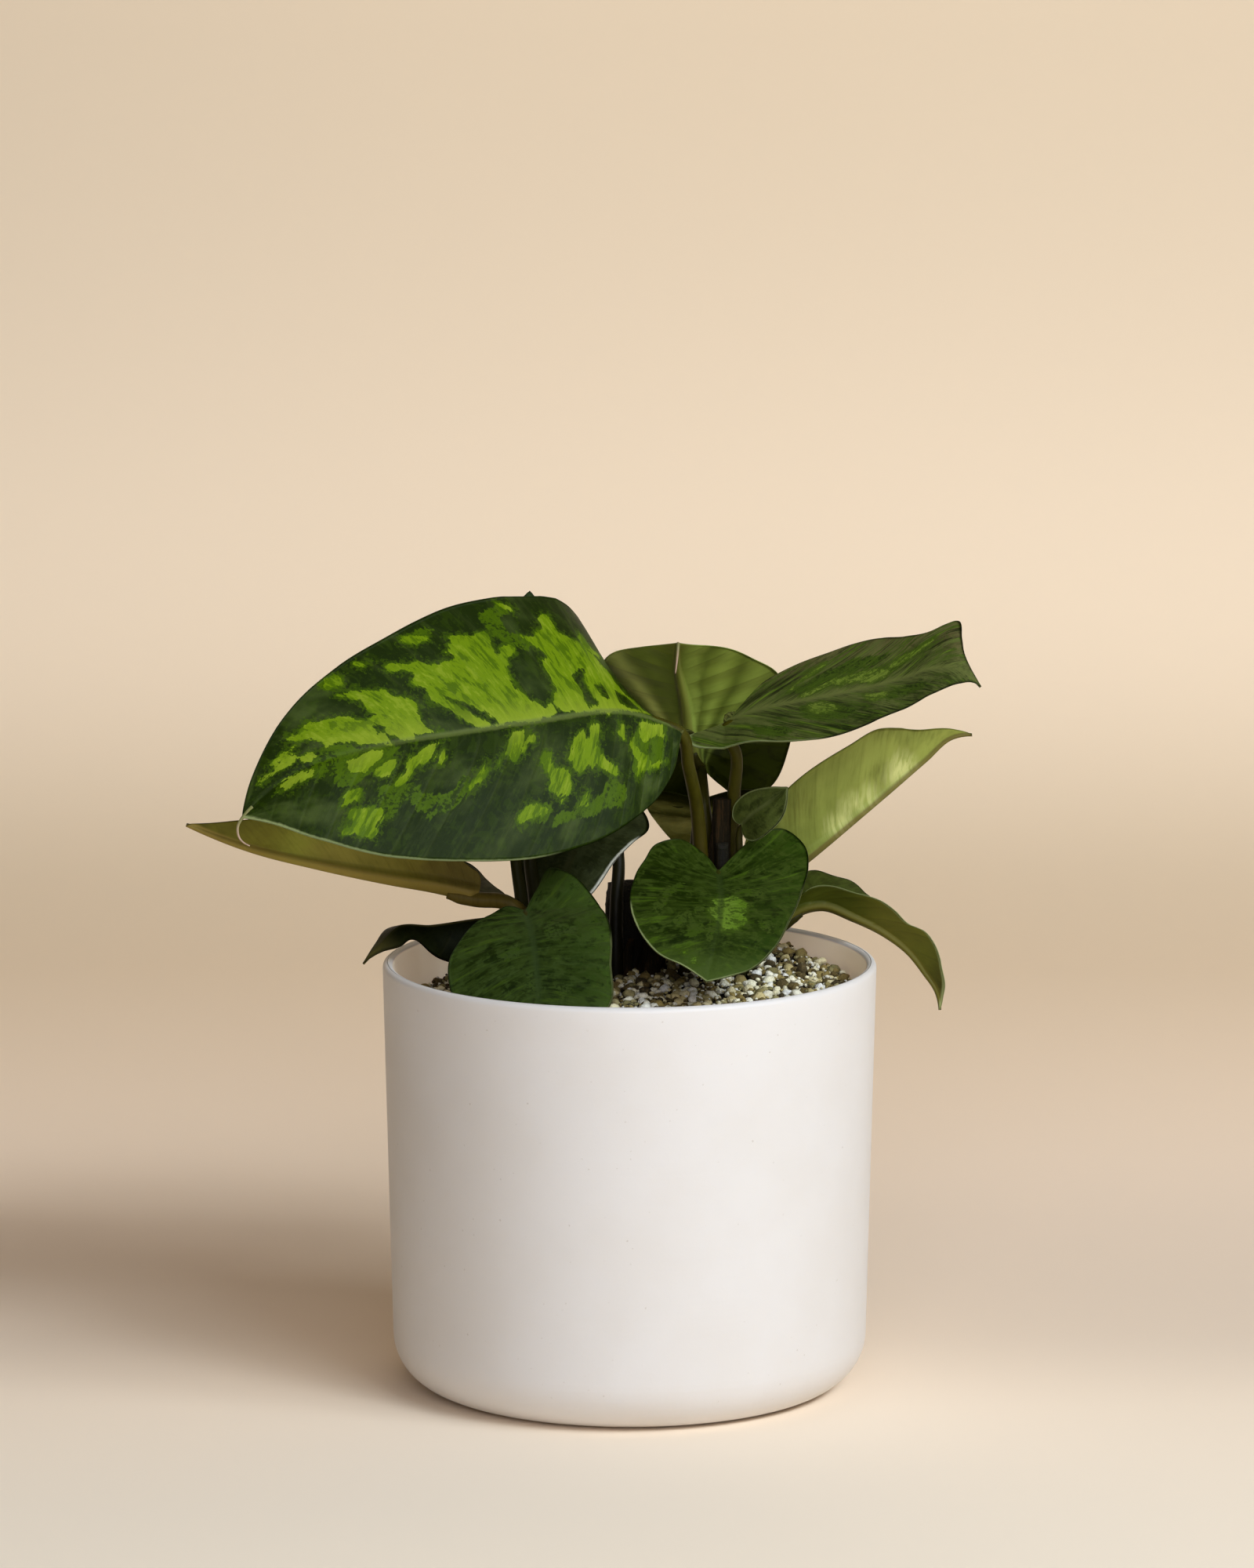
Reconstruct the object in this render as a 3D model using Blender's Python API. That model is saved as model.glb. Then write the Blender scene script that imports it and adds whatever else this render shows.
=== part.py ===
"""Potted homalomena: a small variegated aroid with heart-shaped leaves in a plain white pot.

Metres, +Z up. The origin is the centre of the pot's flat base. The plant is seen from -Y.
Sizes in the tables below are millimetres, and MM turns them into metres.
"""
import math
import random

import bmesh
import bpy
import numpy as np
from mathutils import Vector

MM = 0.001

# Pot
POT_HEIGHT = 109.0
RIM_RADIUS = 62.5
BASE_RADIUS = 60.0
WALL = 2.6
FLOOR = 5.0
BASE_FILLET = 13.5
LIP_FILLET = 1.4
POT_STEPS = 64

# Gritty soil
SOIL_CLEARANCE = 0.4
SOIL_LEVEL = 99.3
SOIL_SLOPE = (0, 0.1)
SOIL_RINGS = 25
PEBBLE_RISE = (0.9, 2.0)
PEBBLE_SHIFT = 0.6
PEBBLE_SEED = 11

# Stalks and their holes
HOLE_DEPTH = 14.0
HOLE_CLEARANCE = 0.5
STALK_SIDES = 6
BLADE_THICKNESS = 0.8

# Half outlines of a blade: (fraction of the midrib, fraction of the half width), stalk to tip
HEART = [(0, 0), (-0.14, 0.14), (-0.24, 0.42), (-0.19, 0.75), (-0.02, 0.97), (0.2, 1),
         (0.42, 0.88), (0.65, 0.62), (0.83, 0.33), (0.94, 0.11), (1, 0)]
OVATE = [(0, 0), (-0.05, 0.22), (-0.05, 0.54), (0.06, 0.86), (0.26, 1), (0.48, 0.95),
         (0.68, 0.74), (0.84, 0.42), (0.94, 0.15), (1, 0)]


def scaled(outline, half_width):
    """Half outline in millimetres across, for a blade of this half width."""
    return [(s, w * half_width) for s, w in outline]


# One entry for each leaf, in millimetres. rib runs from the stalk to the tip. facing is
# where the upper face looks. left and right are as seen on the upper face, looking to the
# tip: fold is how far a half turns up from flat, in degrees, at fractions of the rib, and
# curl is what it gains 40 mm out. stiff 1 keeps the blade's cross lines parallel. wave is
# the margin's rise and fall, the number of waves from stalk to tip, and their phase. drip
# is the thread-like end of a tip.
LEAVES = [
    dict(name="leaf_large_front", steps=(22, 4), stalk_radius=(2.3, 1.6), stiff=0.7,
         wave=(0.5, 2, 0.1),
         rib=[(13.2, 10.4, 166.4), (-1.2, 4.6, 171.9), (-20.4, -5.4, 171.5), (-41.8, -14.5, 169.7),
              (-64.6, -22.6, 167), (-82.3, -28.8, 162), (-95.9, -34.2, 151.5)],
         facing=[(0, (-0.1, -0.83, 0.55))],
         left=dict(fold=[(0, -5), (0.3, 0)], curl=-10,
                   edge=[(0, 0), (0.016, 6), (0.033, 11.5), (0.065, 17.7), (0.11, 23.8),
                         (0.22, 31), (0.33, 34.5), (0.42, 35.6), (0.55, 34.1), (0.71, 29.5),
                         (0.88, 17), (0.953, 6.8), (1, 0)]),
         right=dict(fold=[(-0.05, -65), (0.03, -58), (0.08, -36), (0.13, -12), (0.18, 0), (0.3, 5)],
                    curl=-6,
                    edge=[(0, 0), (-0.05, 8), (-0.08, 18), (-0.02, 29), (0.11, 35.6), (0.23, 37),
                          (0.335, 37.2), (0.43, 36), (0.515, 32.9), (0.6, 28.8), (0.69, 24.5),
                          (0.776, 19.5), (0.85, 13.8), (0.914, 8.4), (0.964, 4), (1, 0)]),
         drip=[(-97, -34.6, 149.2), (-96.7, -35, 146.8), (-94, -35.4, 144.6)],
         stalk=[(15, 24.3, 104), (18.6, 24.1, 119.9), (18.2, 25.1, 132.4), (17.2, 22.5, 144.5),
                (15, 16, 156.1)]),
    dict(name="leaf_back_upright", steps=(13, 3), stalk_radius=(2.3, 1.6), stiff=0.5,
         wave=(0.5, 2, 0.3),
         rib=[(18.2, 47.8, 151.4), (15.5, 44.2, 160.2), (14, 36.6, 170), (12.2, 26, 180.3),
              (12.3, 15.3, 187.9)],
         facing=[(0, (0, 0.63, 0.78))],
         left=dict(fold=[(0, 12)], curl=10,
                   edge=[(0, 0), (-0.14, 3.5), (-0.25, 9), (-0.2, 16), (-0.05, 23), (0.15, 27),
                         (0.4, 25.5), (0.6, 20), (0.76, 14.5), (0.87, 8.5), (0.95, 3), (1, 0)]),
         right=dict(fold=[(0, 12)], curl=10,
                    edge=[(0, 0), (-0.14, 3.5), (-0.24, 9), (-0.18, 15), (-0.03, 20), (0.2, 21.5),
                          (0.45, 21.5), (0.62, 21), (0.76, 17), (0.87, 9.5), (0.95, 3.5),
                          (1, 0)]),
         drip=[(12.3, 13.2, 187.4), (12, 12.4, 184), (11.6, 12.6, 180.5)],
         stalk=[(20.2, 35.2, 106), (21.1, 33, 118.6), (20.4, 31.4, 132.6), (19.1, 32, 143.5),
                (18.5, 38.7, 149.4)]),
    dict(name="leaf_right_upper", steps=(16, 3), stalk_radius=(2.2, 1.5), stiff=0.85,
         wave=(0.4, 2, 0.5),
         rib=[(24.3, 21.4, 166.5), (32.2, 19.1, 170.1), (42.5, 16.5, 172.7), (58, 13.6, 176.2),
              (68.8, 12, 179.2), (76.7, 10.5, 182), (82.6, 9, 182.3), (86.1, 8, 180.6),
              (88.8, 6.9, 178)],
         facing=[(0, (-0.1, -0.16, 0.98)), (0.6, (-0.1, -0.16, 0.98)), (1, (0.15, -0.5, 0.84))],
         left=dict(fold=[(0, 30), (0.7, 30), (1, 20)], curl=10,
                   edge=[(0, 0), (0.04, 1.5), (0.087, 3.2), (0.144, 8), (0.204, 10.1),
                         (0.263, 11.7), (0.388, 14), (0.498, 15.4), (0.585, 15.1),
                         (0.694, 12.5), (0.781, 11.3), (0.847, 13), (0.887, 14.2), (0.9, 9.4),
                         (0.915, 4.9), (0.945, 2), (1, 0)]),
         right=dict(fold=[(0, -28), (0.7, -20), (1, 0)], curl=-10,
                    edge=[(0, 0), (-0.06, 1.4), (-0.154, 2.9), (-0.12, 6), (-0.03, 8.4),
                          (0.094, 10), (0.26, 13.5), (0.417, 15.2), (0.555, 13.6),
                          (0.647, 11.6), (0.768, 10.1), (0.857, 7.7), (0.91, 4.8), (0.953, 1.9),
                          (1, 0)]),
         stalk=[(26.5, 34, 106), (25.8, 32.5, 118.4), (26.2, 30.5, 132.5), (26.8, 28, 147.3),
                (27.2, 24.5, 158)]),
    dict(name="leaf_left_low", steps=(13, 3), stalk_radius=(2.2, 1.8), stiff=0.3,
         wave=(0.3, 2, 0.5),
         rib=[(-38.4, 2.8, 125.8), (-48.2, 1.9, 128.2), (-60, -0.1, 130.4), (-78.9, -2.9, 134.5),
              (-95.8, -5.7, 139), (-111.3, -8.5, 145.5)],
         facing=[(0, (0, 0.34, 0.94))],
         left=dict(fold=[(0, 60), (1, 50)], curl=0,
                   edge=[(0, 0), (0, 2.8), (0.016, 5.2), (0.048, 6.3), (0.08, 7.6), (0.13, 10.5),
                         (0.22, 13.8), (0.34, 15), (0.5, 14.2), (0.68, 11.1), (0.84, 6.3),
                         (0.94, 2.3), (1, 0)]),
         right=dict(fold=[(0, 35)], curl=0,
                    edge=[(0, 0), (-0.025, 4), (-0.027, 8.8), (-0.016, 13.2), (0.01, 16.5),
                          (0.08, 18.2), (0.3, 18), (0.5, 16), (0.7, 12.5), (0.83, 7.5),
                          (0.93, 2.8), (1, 0)]),
         stalk=[(-21.5, 6.5, 101), (-24.1, 5.2, 112.5), (-26.9, 4, 119.8), (-31.4, 3.6, 123.2)]),
    dict(name="leaf_front_left", steps=(13, 4), stalk_radius=(2.1, 1.4), stiff=0.75,
         wave=(0.4, 2, 0.5),
         rib=[(-26.3, -7.4, 122.8), (-24.2, -18.6, 117.6), (-22.9, -28.9, 109.6), (-22, -37.3, 101.3),
              (-21.6, -41.5, 96.2), (-21.2, -40.6, 93)],
         facing=[(0, (0, -0.72, 0.68))],
         left=dict(fold=[(0, 0)], curl=-10,
                   edge=[(0, 0), (-0.16, 4), (-0.3, 8.5), (-0.25, 13), (-0.1, 17.4), (0.02, 19.4),
                         (0.2, 20), (0.44, 18.8), (0.73, 17.3), (0.88, 10), (1, 0)]),
         right=dict(fold=[(0, 5), (1, 0)], curl=-10,
                    edge=[(0, 0), (-0.05, 4), (-0.01, 8), (0.06, 13), (0.2, 18), (0.34, 21.4),
                          (0.5, 22), (0.7, 19), (0.88, 10), (1, 0)]),
         stalk=[(-16.7, 2.5, 100), (-20.5, 0.3, 113.9), (-23.6, -3.4, 120.7)]),
    dict(name="leaf_front_right", steps=(13, 4), stalk_radius=(2.2, 1.5), stiff=0.8,
         wave=(0.5, 2, 0.2),
         rib=[(22.5, 12.9, 129.4), (23.1, -1.3, 124.3), (21.8, -13.6, 116.6), (19.2, -22, 107.8)],
         facing=[(0, (0.05, -0.67, 0.73))],
         left=dict(fold=[(0, 0)], curl=-5,
                   edge=[(0, 0), (-0.2, 4.5), (-0.37, 8.8), (-0.48, 16), (-0.38, 21.3),
                         (-0.13, 23), (0.15, 20.8), (0.45, 17.8), (0.7, 14.6), (0.88, 10),
                         (0.95, 5), (1, 0)]),
         right=dict(fold=[(0, 0)], curl=-5,
                    edge=[(0, 0), (-0.2, 5), (-0.3, 10.5), (-0.25, 16), (-0.08, 18.8),
                          (0.12, 21.5), (0.36, 23), (0.57, 21.7), (0.73, 18), (0.85, 13),
                          (0.91, 7), (1, 0)]),
         stalk=[(22.5, 18.5, 104), (21.8, 18.2, 110.5), (22, 17.6, 120.8)]),
    dict(name="leaf_right_back", steps=(13, 3), stalk_radius=(2.2, 1.5), stiff=0.5,
         wave=(0.3, 2, 0.5),
         rib=[(32.6, 36.2, 119.6), (45.8, 37.6, 129.2), (57.2, 38.7, 138.3), (66.8, 39.8, 146.1),
              (76.1, 41, 153.8), (83.3, 42.1, 159.5), (88.4, 43, 160.1)],
         facing=[(0, (-0.45, 0.33, 0.84))],
         left=dict(fold=[(0, 40), (1, 30)], curl=0,
                   edge=[(0, 0), (0, 4), (0.04, 9), (0.12, 14), (0.28, 16), (0.48, 15.2),
                         (0.68, 11.8), (0.84, 6.7), (0.94, 2.4), (1, 0)]),
         right=dict(fold=[(0, 55), (1, 45)], curl=0,
                    edge=[(0, 0), (0, 4), (0.03, 9.5), (0.12, 16), (0.3, 18.5), (0.45, 19),
                          (0.6, 18), (0.72, 16.3), (0.79, 12), (0.87, 6), (0.95, 1.7), (1, 0)]),
         stalk=[(31, 31.5, 106), (31, 33, 110.5), (31.3, 35, 115.6)]),
    dict(name="leaf_young", steps=(8, 2), stalk_radius=(1.2, 0.9), stiff=0.5,
         wave=(0, 1, 0),
         rib=[(28.7, 23.3, 139.8), (31.9, 21.5, 143.3), (36.2, 20.6, 146.4), (40.4, 20.8, 150)],
         facing=[(0, (0, -0.78, 0.63))],
         left=dict(fold=[(0, 10), (1, 0)], curl=0, edge=scaled(OVATE, 5.5)),
         right=dict(fold=[(0, 10), (1, 0)], curl=0, edge=scaled(OVATE, 7.5)),
         stalk=[(28.6, 18.9, 105), (28.8, 21.8, 118.3), (28.2, 24.4, 131)]),
    dict(name="leaf_back_low", steps=(12, 3), stalk_radius=(2.1, 1.5), stiff=0.5,
         wave=(0.5, 2, 0.5),
         rib=[(18.1, 39.5, 143.1), (18.4, 55.3, 138.8), (18.7, 71.1, 131.5), (19.9, 82.7, 121.1),
              (20.5, 86.5, 117.1)],
         facing=[(0, (0, 0.24, 0.94))],
         left=dict(fold=[(0, 15), (1, 0)], curl=0, edge=scaled(OVATE, 14.5)),
         right=dict(fold=[(0, 15), (1, 0)], curl=0, edge=scaled(OVATE, 15.5)),
         stalk=[(15.5, 31.2, 105), (16.5, 33.5, 118), (17.1, 35.1, 132)]),
    dict(name="leaf_right_low", steps=(14, 3), stalk_radius=(1.9, 1.3), stiff=0.2,
         wave=(0.3, 2, 0.5),
         rib=[(39.5, 22.3, 114.9), (44.4, 22.5, 118.3), (49.3, 22.5, 119.1), (57.3, 21.4, 116.3),
              (65.8, 20.2, 112), (71.4, 19.1, 107.7), (75.8, 17.8, 102.1), (78.6, 16.7, 97.8),
              (79.6, 16.5, 92.9)],
         facing=[(0, (0, 0.24, 0.94)), (1, (0.6, 0.23, 0.74))],
         left=dict(fold=[(0, 50), (1, 30)], curl=0,
                   edge=[(0, 0), (0.02, 5), (0.08, 11), (0.17, 13.2), (0.226, 11.7), (0.275, 12.3),
                         (0.37, 11), (0.5, 9.5), (0.7, 7), (0.85, 4), (1, 0)]),
         right=dict(fold=[(0, 50), (1, 45)], curl=0,
                    edge=[(0, 0), (0.05, 2), (0.114, 4), (0.16, 5.8), (0.225, 6.4), (0.302, 6.8),
                          (0.389, 7.8), (0.45, 8.2), (0.512, 7.8), (0.6, 6.7), (0.679, 8.3),
                          (0.72, 8), (0.807, 6.3), (0.885, 3.8), (0.945, 1.2), (1, 0)]),
         stalk=[(30.6, 23.8, 105), (34, 23, 107), (36.5, 22.2, 111.6)]),
    dict(name="leaf_over_rim", steps=(12, 3), stalk_radius=(1.6, 1.1), stiff=0.6,
         wave=(0.4, 2, 0.5),
         rib=[(-29.6, 14.5, 118.1), (-40.6, 9.5, 117.7), (-50.3, 3.4, 117.4), (-58.5, -2.5, 118.1),
              (-62.7, -6.7, 114.5), (-67.2, -8.9, 109.8)],
         facing=[(0, (0, -0.16, 0.96))],
         left=dict(fold=[(0, -60), (0.5, -55), (1, -20)], curl=0,
                   edge=[(0, 0), (0.01, 5), (0.1, 9), (0.3, 10.5), (0.46, 10), (0.56, 7.5),
                         (0.62, 5), (0.78, 4.4), (0.88, 1.8), (1, 0)]),
         right=dict(fold=[(0, -30), (0.6, -30), (1, 0)], curl=0,
                    edge=[(0, 0), (0.02, 5), (0.2, 9), (0.45, 8), (0.7, 5), (0.85, 2.5), (1, 0)]),
         stalk=[(-27.5, 18.5, 101), (-27.9, 17.7, 110.6), (-28.3, 15.9, 116.2)]),
    dict(name="leaf_shaded", steps=(12, 3), stalk_radius=(2.1, 1.4), stiff=0.5,
         wave=(0.4, 2, 0.5),
         rib=[(-7.7, 27.5, 143.9), (-11.7, 26.6, 137.6), (-16.3, 25, 127.6), (-20.5, 25, 117.5),
              (-22.5, 25.5, 111.3)],
         facing=[(0, (0, -0.83, 0.53))],
         left=dict(fold=[(0, 0)], curl=-10,
                   edge=[(0, 0), (-0.12, 5), (-0.13, 10), (-0.05, 13.7), (0.11, 12.5), (0.3, 10.7),
                         (0.6, 8.4), (0.8, 5), (0.93, 2), (1, 0)]),
         right=dict(fold=[(0, 0)], curl=-10,
                    edge=[(0, 0), (-0.05, 4), (-0.04, 9), (0.08, 13), (0.28, 15.5), (0.45, 15),
                          (0.616, 13.3), (0.742, 11.2), (0.838, 9.1), (0.93, 4.5), (1, 0)]),
         stalk=[(-3.5, 19.5, 103), (-3.3, 23.1, 119.8), (-2.9, 27, 131.3), (-4.7, 29.4, 140.1)]),
    dict(name="leaf_rear_upright", steps=(12, 3), stalk_radius=(2.1, 1.4), stiff=0.5,
         wave=(0.4, 2, 0.5),
         rib=[(-27, 25, 159), (-27.2, 31, 169), (-26.7, 37.5, 180.5), (-25.7, 44.6, 197.2)],
         facing=[(0, (0, -0.83, 0.53))],
         left=dict(fold=[(0, 0)], curl=-20, edge=scaled(OVATE, 15)),
         right=dict(fold=[(0, 0)], curl=-20, edge=scaled(OVATE, 15)),
         stalk=[(-15.5, 18, 103), (-21.3, 19, 111.5), (-24.7, 19.5, 125.5), (-26, 21, 141),
                (-26.8, 23.3, 152)]),
    dict(name="leaf_rear_left", steps=(13, 3), stalk_radius=(2.1, 1.4), stiff=0.5,
         wave=(0.5, 2, 0.5),
         rib=[(-31, 16.5, 144.4), (-37.9, 31.8, 151), (-46.3, 49.9, 154.1), (-56, 67.9, 153.3),
              (-63.7, 81.6, 145.9)],
         facing=[(0, (0, -0.06, 0.97))],
         left=dict(fold=[(0, 8)], curl=-10, edge=scaled(OVATE, 17)),
         right=dict(fold=[(0, 8)], curl=-10,
                    edge=[(0, 0), (0.03, 1.5), (0.1, 3.5), (0.2, 6.5), (0.32, 10.5), (0.46, 13),
                          (0.62, 12.5), (0.8, 8), (0.93, 3), (1, 0)]),
         stalk=[(-21.5, 16, 102), (-25.9, 12.3, 113.7), (-28, 11.8, 126), (-29.6, 13.2, 136.9)]),
]

# Short fleshy stems that the stalks spring from: (x, y, foot radius, top radius, top height)
CROWNS = dict(
    crown_middle=(-0.5, 31, 6.2, 5.4, 122.8),
    crown_right=(23.6, 24.7, 2.4, 1.7, 134.5),
    crown_left=(-15, 10.5, 3, 2.2, 109),
)
CROWN_SIDES = 10


def clear_scene():
    for obj in list(bpy.data.objects):
        bpy.data.objects.remove(obj, do_unlink=True)


def material(name, colour, roughness, metallic=0.0):
    mat = bpy.data.materials.get(name)
    if mat:
        return mat
    mat = bpy.data.materials.new(name)
    mat.use_nodes = True
    shader = mat.node_tree.nodes["Principled BSDF"]
    shader.inputs["Base Color"].default_value = (*colour, 1)
    shader.inputs["Roughness"].default_value = roughness
    shader.inputs["Metallic"].default_value = metallic
    mat.diffuse_color = (*colour, 1)
    return mat


def mesh_object(name, verts, faces, mat):
    """Object from millimetre points, faces pointing out."""
    mesh = bpy.data.meshes.new(name)
    mesh.from_pydata([Vector(v) * MM for v in verts], [], faces)
    bm = bmesh.new()
    bm.from_mesh(mesh)
    bmesh.ops.recalc_face_normals(bm, faces=bm.faces)
    bm.to_mesh(mesh)
    bm.free()
    obj = bpy.data.objects.new(name, mesh)
    bpy.context.scene.collection.objects.link(obj)
    mesh.materials.append(mat)
    return obj


def select_only(obj):
    bpy.ops.object.select_all(action="DESELECT")
    obj.select_set(True)
    bpy.context.view_layer.objects.active = obj


def union(base, others):
    """Fuse others into base with one Boolean and drop them."""
    group = bpy.data.collections.new(base.name + "_pieces")
    for obj in others:
        group.objects.link(obj)
    boolean = base.modifiers.new("fuse", "BOOLEAN")
    boolean.operation = "UNION"
    boolean.operand_type = "COLLECTION"
    boolean.collection = group
    boolean.solver = "EXACT"
    select_only(base)
    bpy.ops.object.modifier_apply(modifier=boolean.name)
    for obj in others:
        bpy.data.objects.remove(obj, do_unlink=True)
    bpy.data.collections.remove(group)


def unit(v):
    return v / np.linalg.norm(v, axis=-1, keepdims=True)


def smooth_path(points, fractions):
    """Smooth curve through points, read at fractions of its length."""
    p = np.array(points, float)
    run = np.r_[0, np.cumsum(np.linalg.norm(np.diff(p, axis=0), axis=1))]
    at = run / run[-1]
    step = np.diff(at)[:, None]
    slope = np.diff(p, axis=0) / step
    tangent = np.empty_like(p)
    tangent[1:-1] = (slope[1:] * step[:-1] + slope[:-1] * step[1:]) / (step[1:] + step[:-1])
    tangent[0] = 2 * slope[0] - tangent[1]
    tangent[-1] = 2 * slope[-1] - tangent[-2]
    t = np.asarray(fractions, float)
    k = np.clip(np.searchsorted(at, t, side="right") - 1, 0, len(p) - 2)
    h = step[k]
    u = ((t - at[k]) / h[:, 0])[:, None]
    start = (2 * u**3 - 3 * u**2 + 1) * p[k] + (u**3 - 2 * u**2 + u) * h * tangent[k]
    end = (3 * u**2 - 2 * u**3) * p[k + 1] + (u**3 - u**2) * h * tangent[k + 1]
    return start + end


def along(stations, s):
    """Value at fraction s of the rib, straight between (fraction, value) stations."""
    at = [fraction for fraction, _ in stations]
    values = np.array([value for _, value in stations], float)
    if values.ndim == 1:
        return np.interp(s, at, values)
    return np.stack([np.interp(s, at, column) for column in values.T], -1)


class Blade:
    """The middle surface of a leaf blade: a midrib in space and two halves that fold from it."""

    def __init__(self, leaf):
        self.leaf = leaf
        self.rib = smooth_path(leaf["rib"], np.linspace(0, 1, 161))
        self.arc = np.r_[0, np.cumsum(np.linalg.norm(np.diff(self.rib, axis=0), axis=1))]
        self.length = self.arc[-1]
        local = unit(np.gradient(self.rib, self.arc, axis=0))
        chord = unit(self.rib[-1] - self.rib[0])
        self.tangent = unit((1 - leaf["stiff"]) * local + leaf["stiff"] * chord)

    def frame(self, s):
        """Rib point, tangent, upper normal and right-hand direction at fractions s."""
        x = np.clip(s, 0, 1) * self.length
        rib = np.stack([np.interp(x, self.arc, c) for c in self.rib.T], -1)
        tangent = unit(np.stack([np.interp(x, self.arc, c) for c in self.tangent.T], -1))
        facing = np.broadcast_to(along(self.leaf["facing"], s), rib.shape)
        up = unit(facing - (facing * tangent).sum(-1, keepdims=True) * tangent)
        rib = rib + tangent * (np.minimum(s, 0) * self.length)[..., None]
        return rib, tangent, up, np.cross(tangent, up)

    def at(self, s, w, side):
        """Point at fraction s of the rib and w millimetres out, side +1 right or -1 left."""
        s = np.asarray(s, float)
        w = np.asarray(w, float)
        half = self.leaf["right" if side > 0 else "left"]
        rib, _, up, out = self.frame(s)
        fold = (along(half["fold"], s - 0.03) + along(half["fold"], s + 0.03)) / 2
        angle = np.radians((fold + along(half["fold"], s)) / 2 + half["curl"] * w / 40)
        across = out * (side * w * np.cos(angle))[..., None]
        rise, waves, phase = self.leaf["wave"]
        outward = (w / 15)**2 / (1 + (w / 15)**2)
        turns = waves * s + phase * (1 if side > 0 else 1.7)
        lift = w * np.sin(angle) + rise * outward * np.sin(2 * math.pi * turns)
        return rib + across + up * lift[..., None]

    def half_grid(self, side, rows, columns):
        """Points and their (s, w) from the rib out to the edge of one half."""
        edge = np.array(self.leaf["right" if side > 0 else "left"]["edge"], float)
        flat = np.c_[edge[:, 0] * self.length, edge[:, 1], np.zeros(len(edge))]
        t = np.linspace(0, 1, rows + 1)
        outline = smooth_path(flat, t)
        v = np.linspace(0, 1, columns + 1)
        s = (t**1.25)[:, None] * (1 - v) + (outline[:, 0] / self.length)[:, None] * v
        w = np.maximum(outline[:, 1], 0)[:, None] * v
        return self.at(s, w, side), s, w


def blade_mesh(leaf):
    """Closed thin blade, with both faces split into the same triangles."""
    blade = Blade(leaf)
    rows, columns = leaf["steps"]
    points, index = [], {}
    for side in (-1, 1):
        grid, _, _ = blade.half_grid(side, rows, columns)
        for i in range(rows + 1):
            for j in range(columns + 1):
                at_end = i in (0, rows)
                key = (i, 0, 0) if j == 0 or at_end else (i, j, side)
                if key not in index:
                    index[key] = len(points)
                    points.append(grid[i, j])
                index[(i, j, side)] = index[key]
    points = np.array(points)
    triangles = []
    for side in (-1, 1):
        for i in range(rows):
            for j in range(columns):
                a, b = index[(i, j, side)], index[(i + 1, j, side)]
                c, d = index[(i + 1, j + 1, side)], index[(i, j + 1, side)]
                for tri in ((a, b, c), (a, c, d)):
                    if len(set(tri)) == 3:
                        triangles.append(tri if side < 0 else tri[::-1])
    normals = np.zeros_like(points)
    for a, b, c in triangles:
        normal = np.cross(points[b] - points[a], points[c] - points[a])
        for k in (a, b, c):
            normals[k] += normal
    normals = unit(normals)
    half = BLADE_THICKNESS / 2
    count = len(points)
    verts = np.vstack([points + normals * half, points - normals * half])
    faces = [tri for tri in triangles]
    faces += [(a + count, c + count, b + count) for a, b, c in triangles]
    rim = [index[(i, columns, -1)] for i in range(rows + 1)]
    rim += [index[(i, columns, 1)] for i in range(rows - 1, 0, -1)]
    for a, b in zip(rim, rim[1:] + rim[:1]):
        faces.append((a, b, b + count))
        faces.append((a, b + count, a + count))
    return [tuple(v) for v in verts], faces


def tube_mesh(path, radii, sides):
    """Closed round tube along path, with a radius at each of its points."""
    path = np.array(path, float)
    tangent = unit(np.gradient(path, axis=0))
    side = unit(np.cross(tangent[0], (0.3, 0.9, 0.1)))
    verts, faces = [], []
    for k, (point, direction, radius) in enumerate(zip(path, tangent, radii)):
        side = unit(side - (side @ direction) * direction)
        other = np.cross(direction, side)
        for n in range(sides):
            a = 2 * math.pi * n / sides
            verts.append(tuple(point + radius * (side * math.cos(a) + other * math.sin(a))))
        if k:
            for n in range(sides):
                m = (n + 1) % sides
                low, high = (k - 1) * sides, k * sides
                faces.append((low + n, low + m, high + m, high + n))
    faces.append(tuple(range(sides))[::-1])
    faces.append(tuple(range((len(path) - 1) * sides, len(path) * sides)))
    return verts, faces


def stalk_path(leaf):
    """Stalk from its foot in the soil to the blade, then the raised midrib under the blade."""
    blade = Blade(leaf)
    foot_radius, joint_radius = leaf["stalk_radius"]
    x, y, z = leaf["stalk"][0]
    upright = [(x, y, z - HOLE_DEPTH + 1), (x, y, z - 4), (x, y, z), (x, y, z + 3)]
    keel_s = np.array([0.0, 0.04, 0.1])
    rib, _, up, _ = blade.frame(keel_s)
    below = [tuple(p) for p in rib - up * (0.8 * joint_radius)]
    free = smooth_path(upright + leaf["stalk"][1:] + below, np.linspace(0, 1, 13))
    rise = (free[:, 2] - z) / (below[0][2] - z)
    radii = foot_radius + (joint_radius - foot_radius) * np.clip(rise, 0, 1)
    keel_s = np.array([0.24, 0.42, 0.6, 0.78])
    rib, _, up, _ = blade.frame(keel_s)
    keel_radii = joint_radius * (1 - 0.8 * keel_s)
    keel = rib - up * (keel_radii * 0.9)[:, None]
    return np.vstack([free, keel]), np.r_[radii, keel_radii]


def drip_path(leaf):
    """Thread-like end of the tip that hangs past the blade."""
    start, _, _, _ = Blade(leaf).frame(np.array([0.97, 0.99]))
    path = np.vstack([start, leaf["drip"]])
    return path, np.linspace(0.6, 0.35, len(path))


def build_leaf(leaf, mat):
    verts, faces = blade_mesh(leaf)
    obj = mesh_object(leaf["name"], verts, faces, mat)
    paths = [stalk_path(leaf)]
    if "drip" in leaf:
        paths.append(drip_path(leaf))
    tubes = []
    for path, radii in paths:
        verts, faces = tube_mesh(path, radii, STALK_SIDES)
        tubes.append(mesh_object(leaf["name"] + "_tube", verts, faces, mat))
    union(obj, tubes)
    obj.data.shade_smooth()
    return obj


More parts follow.
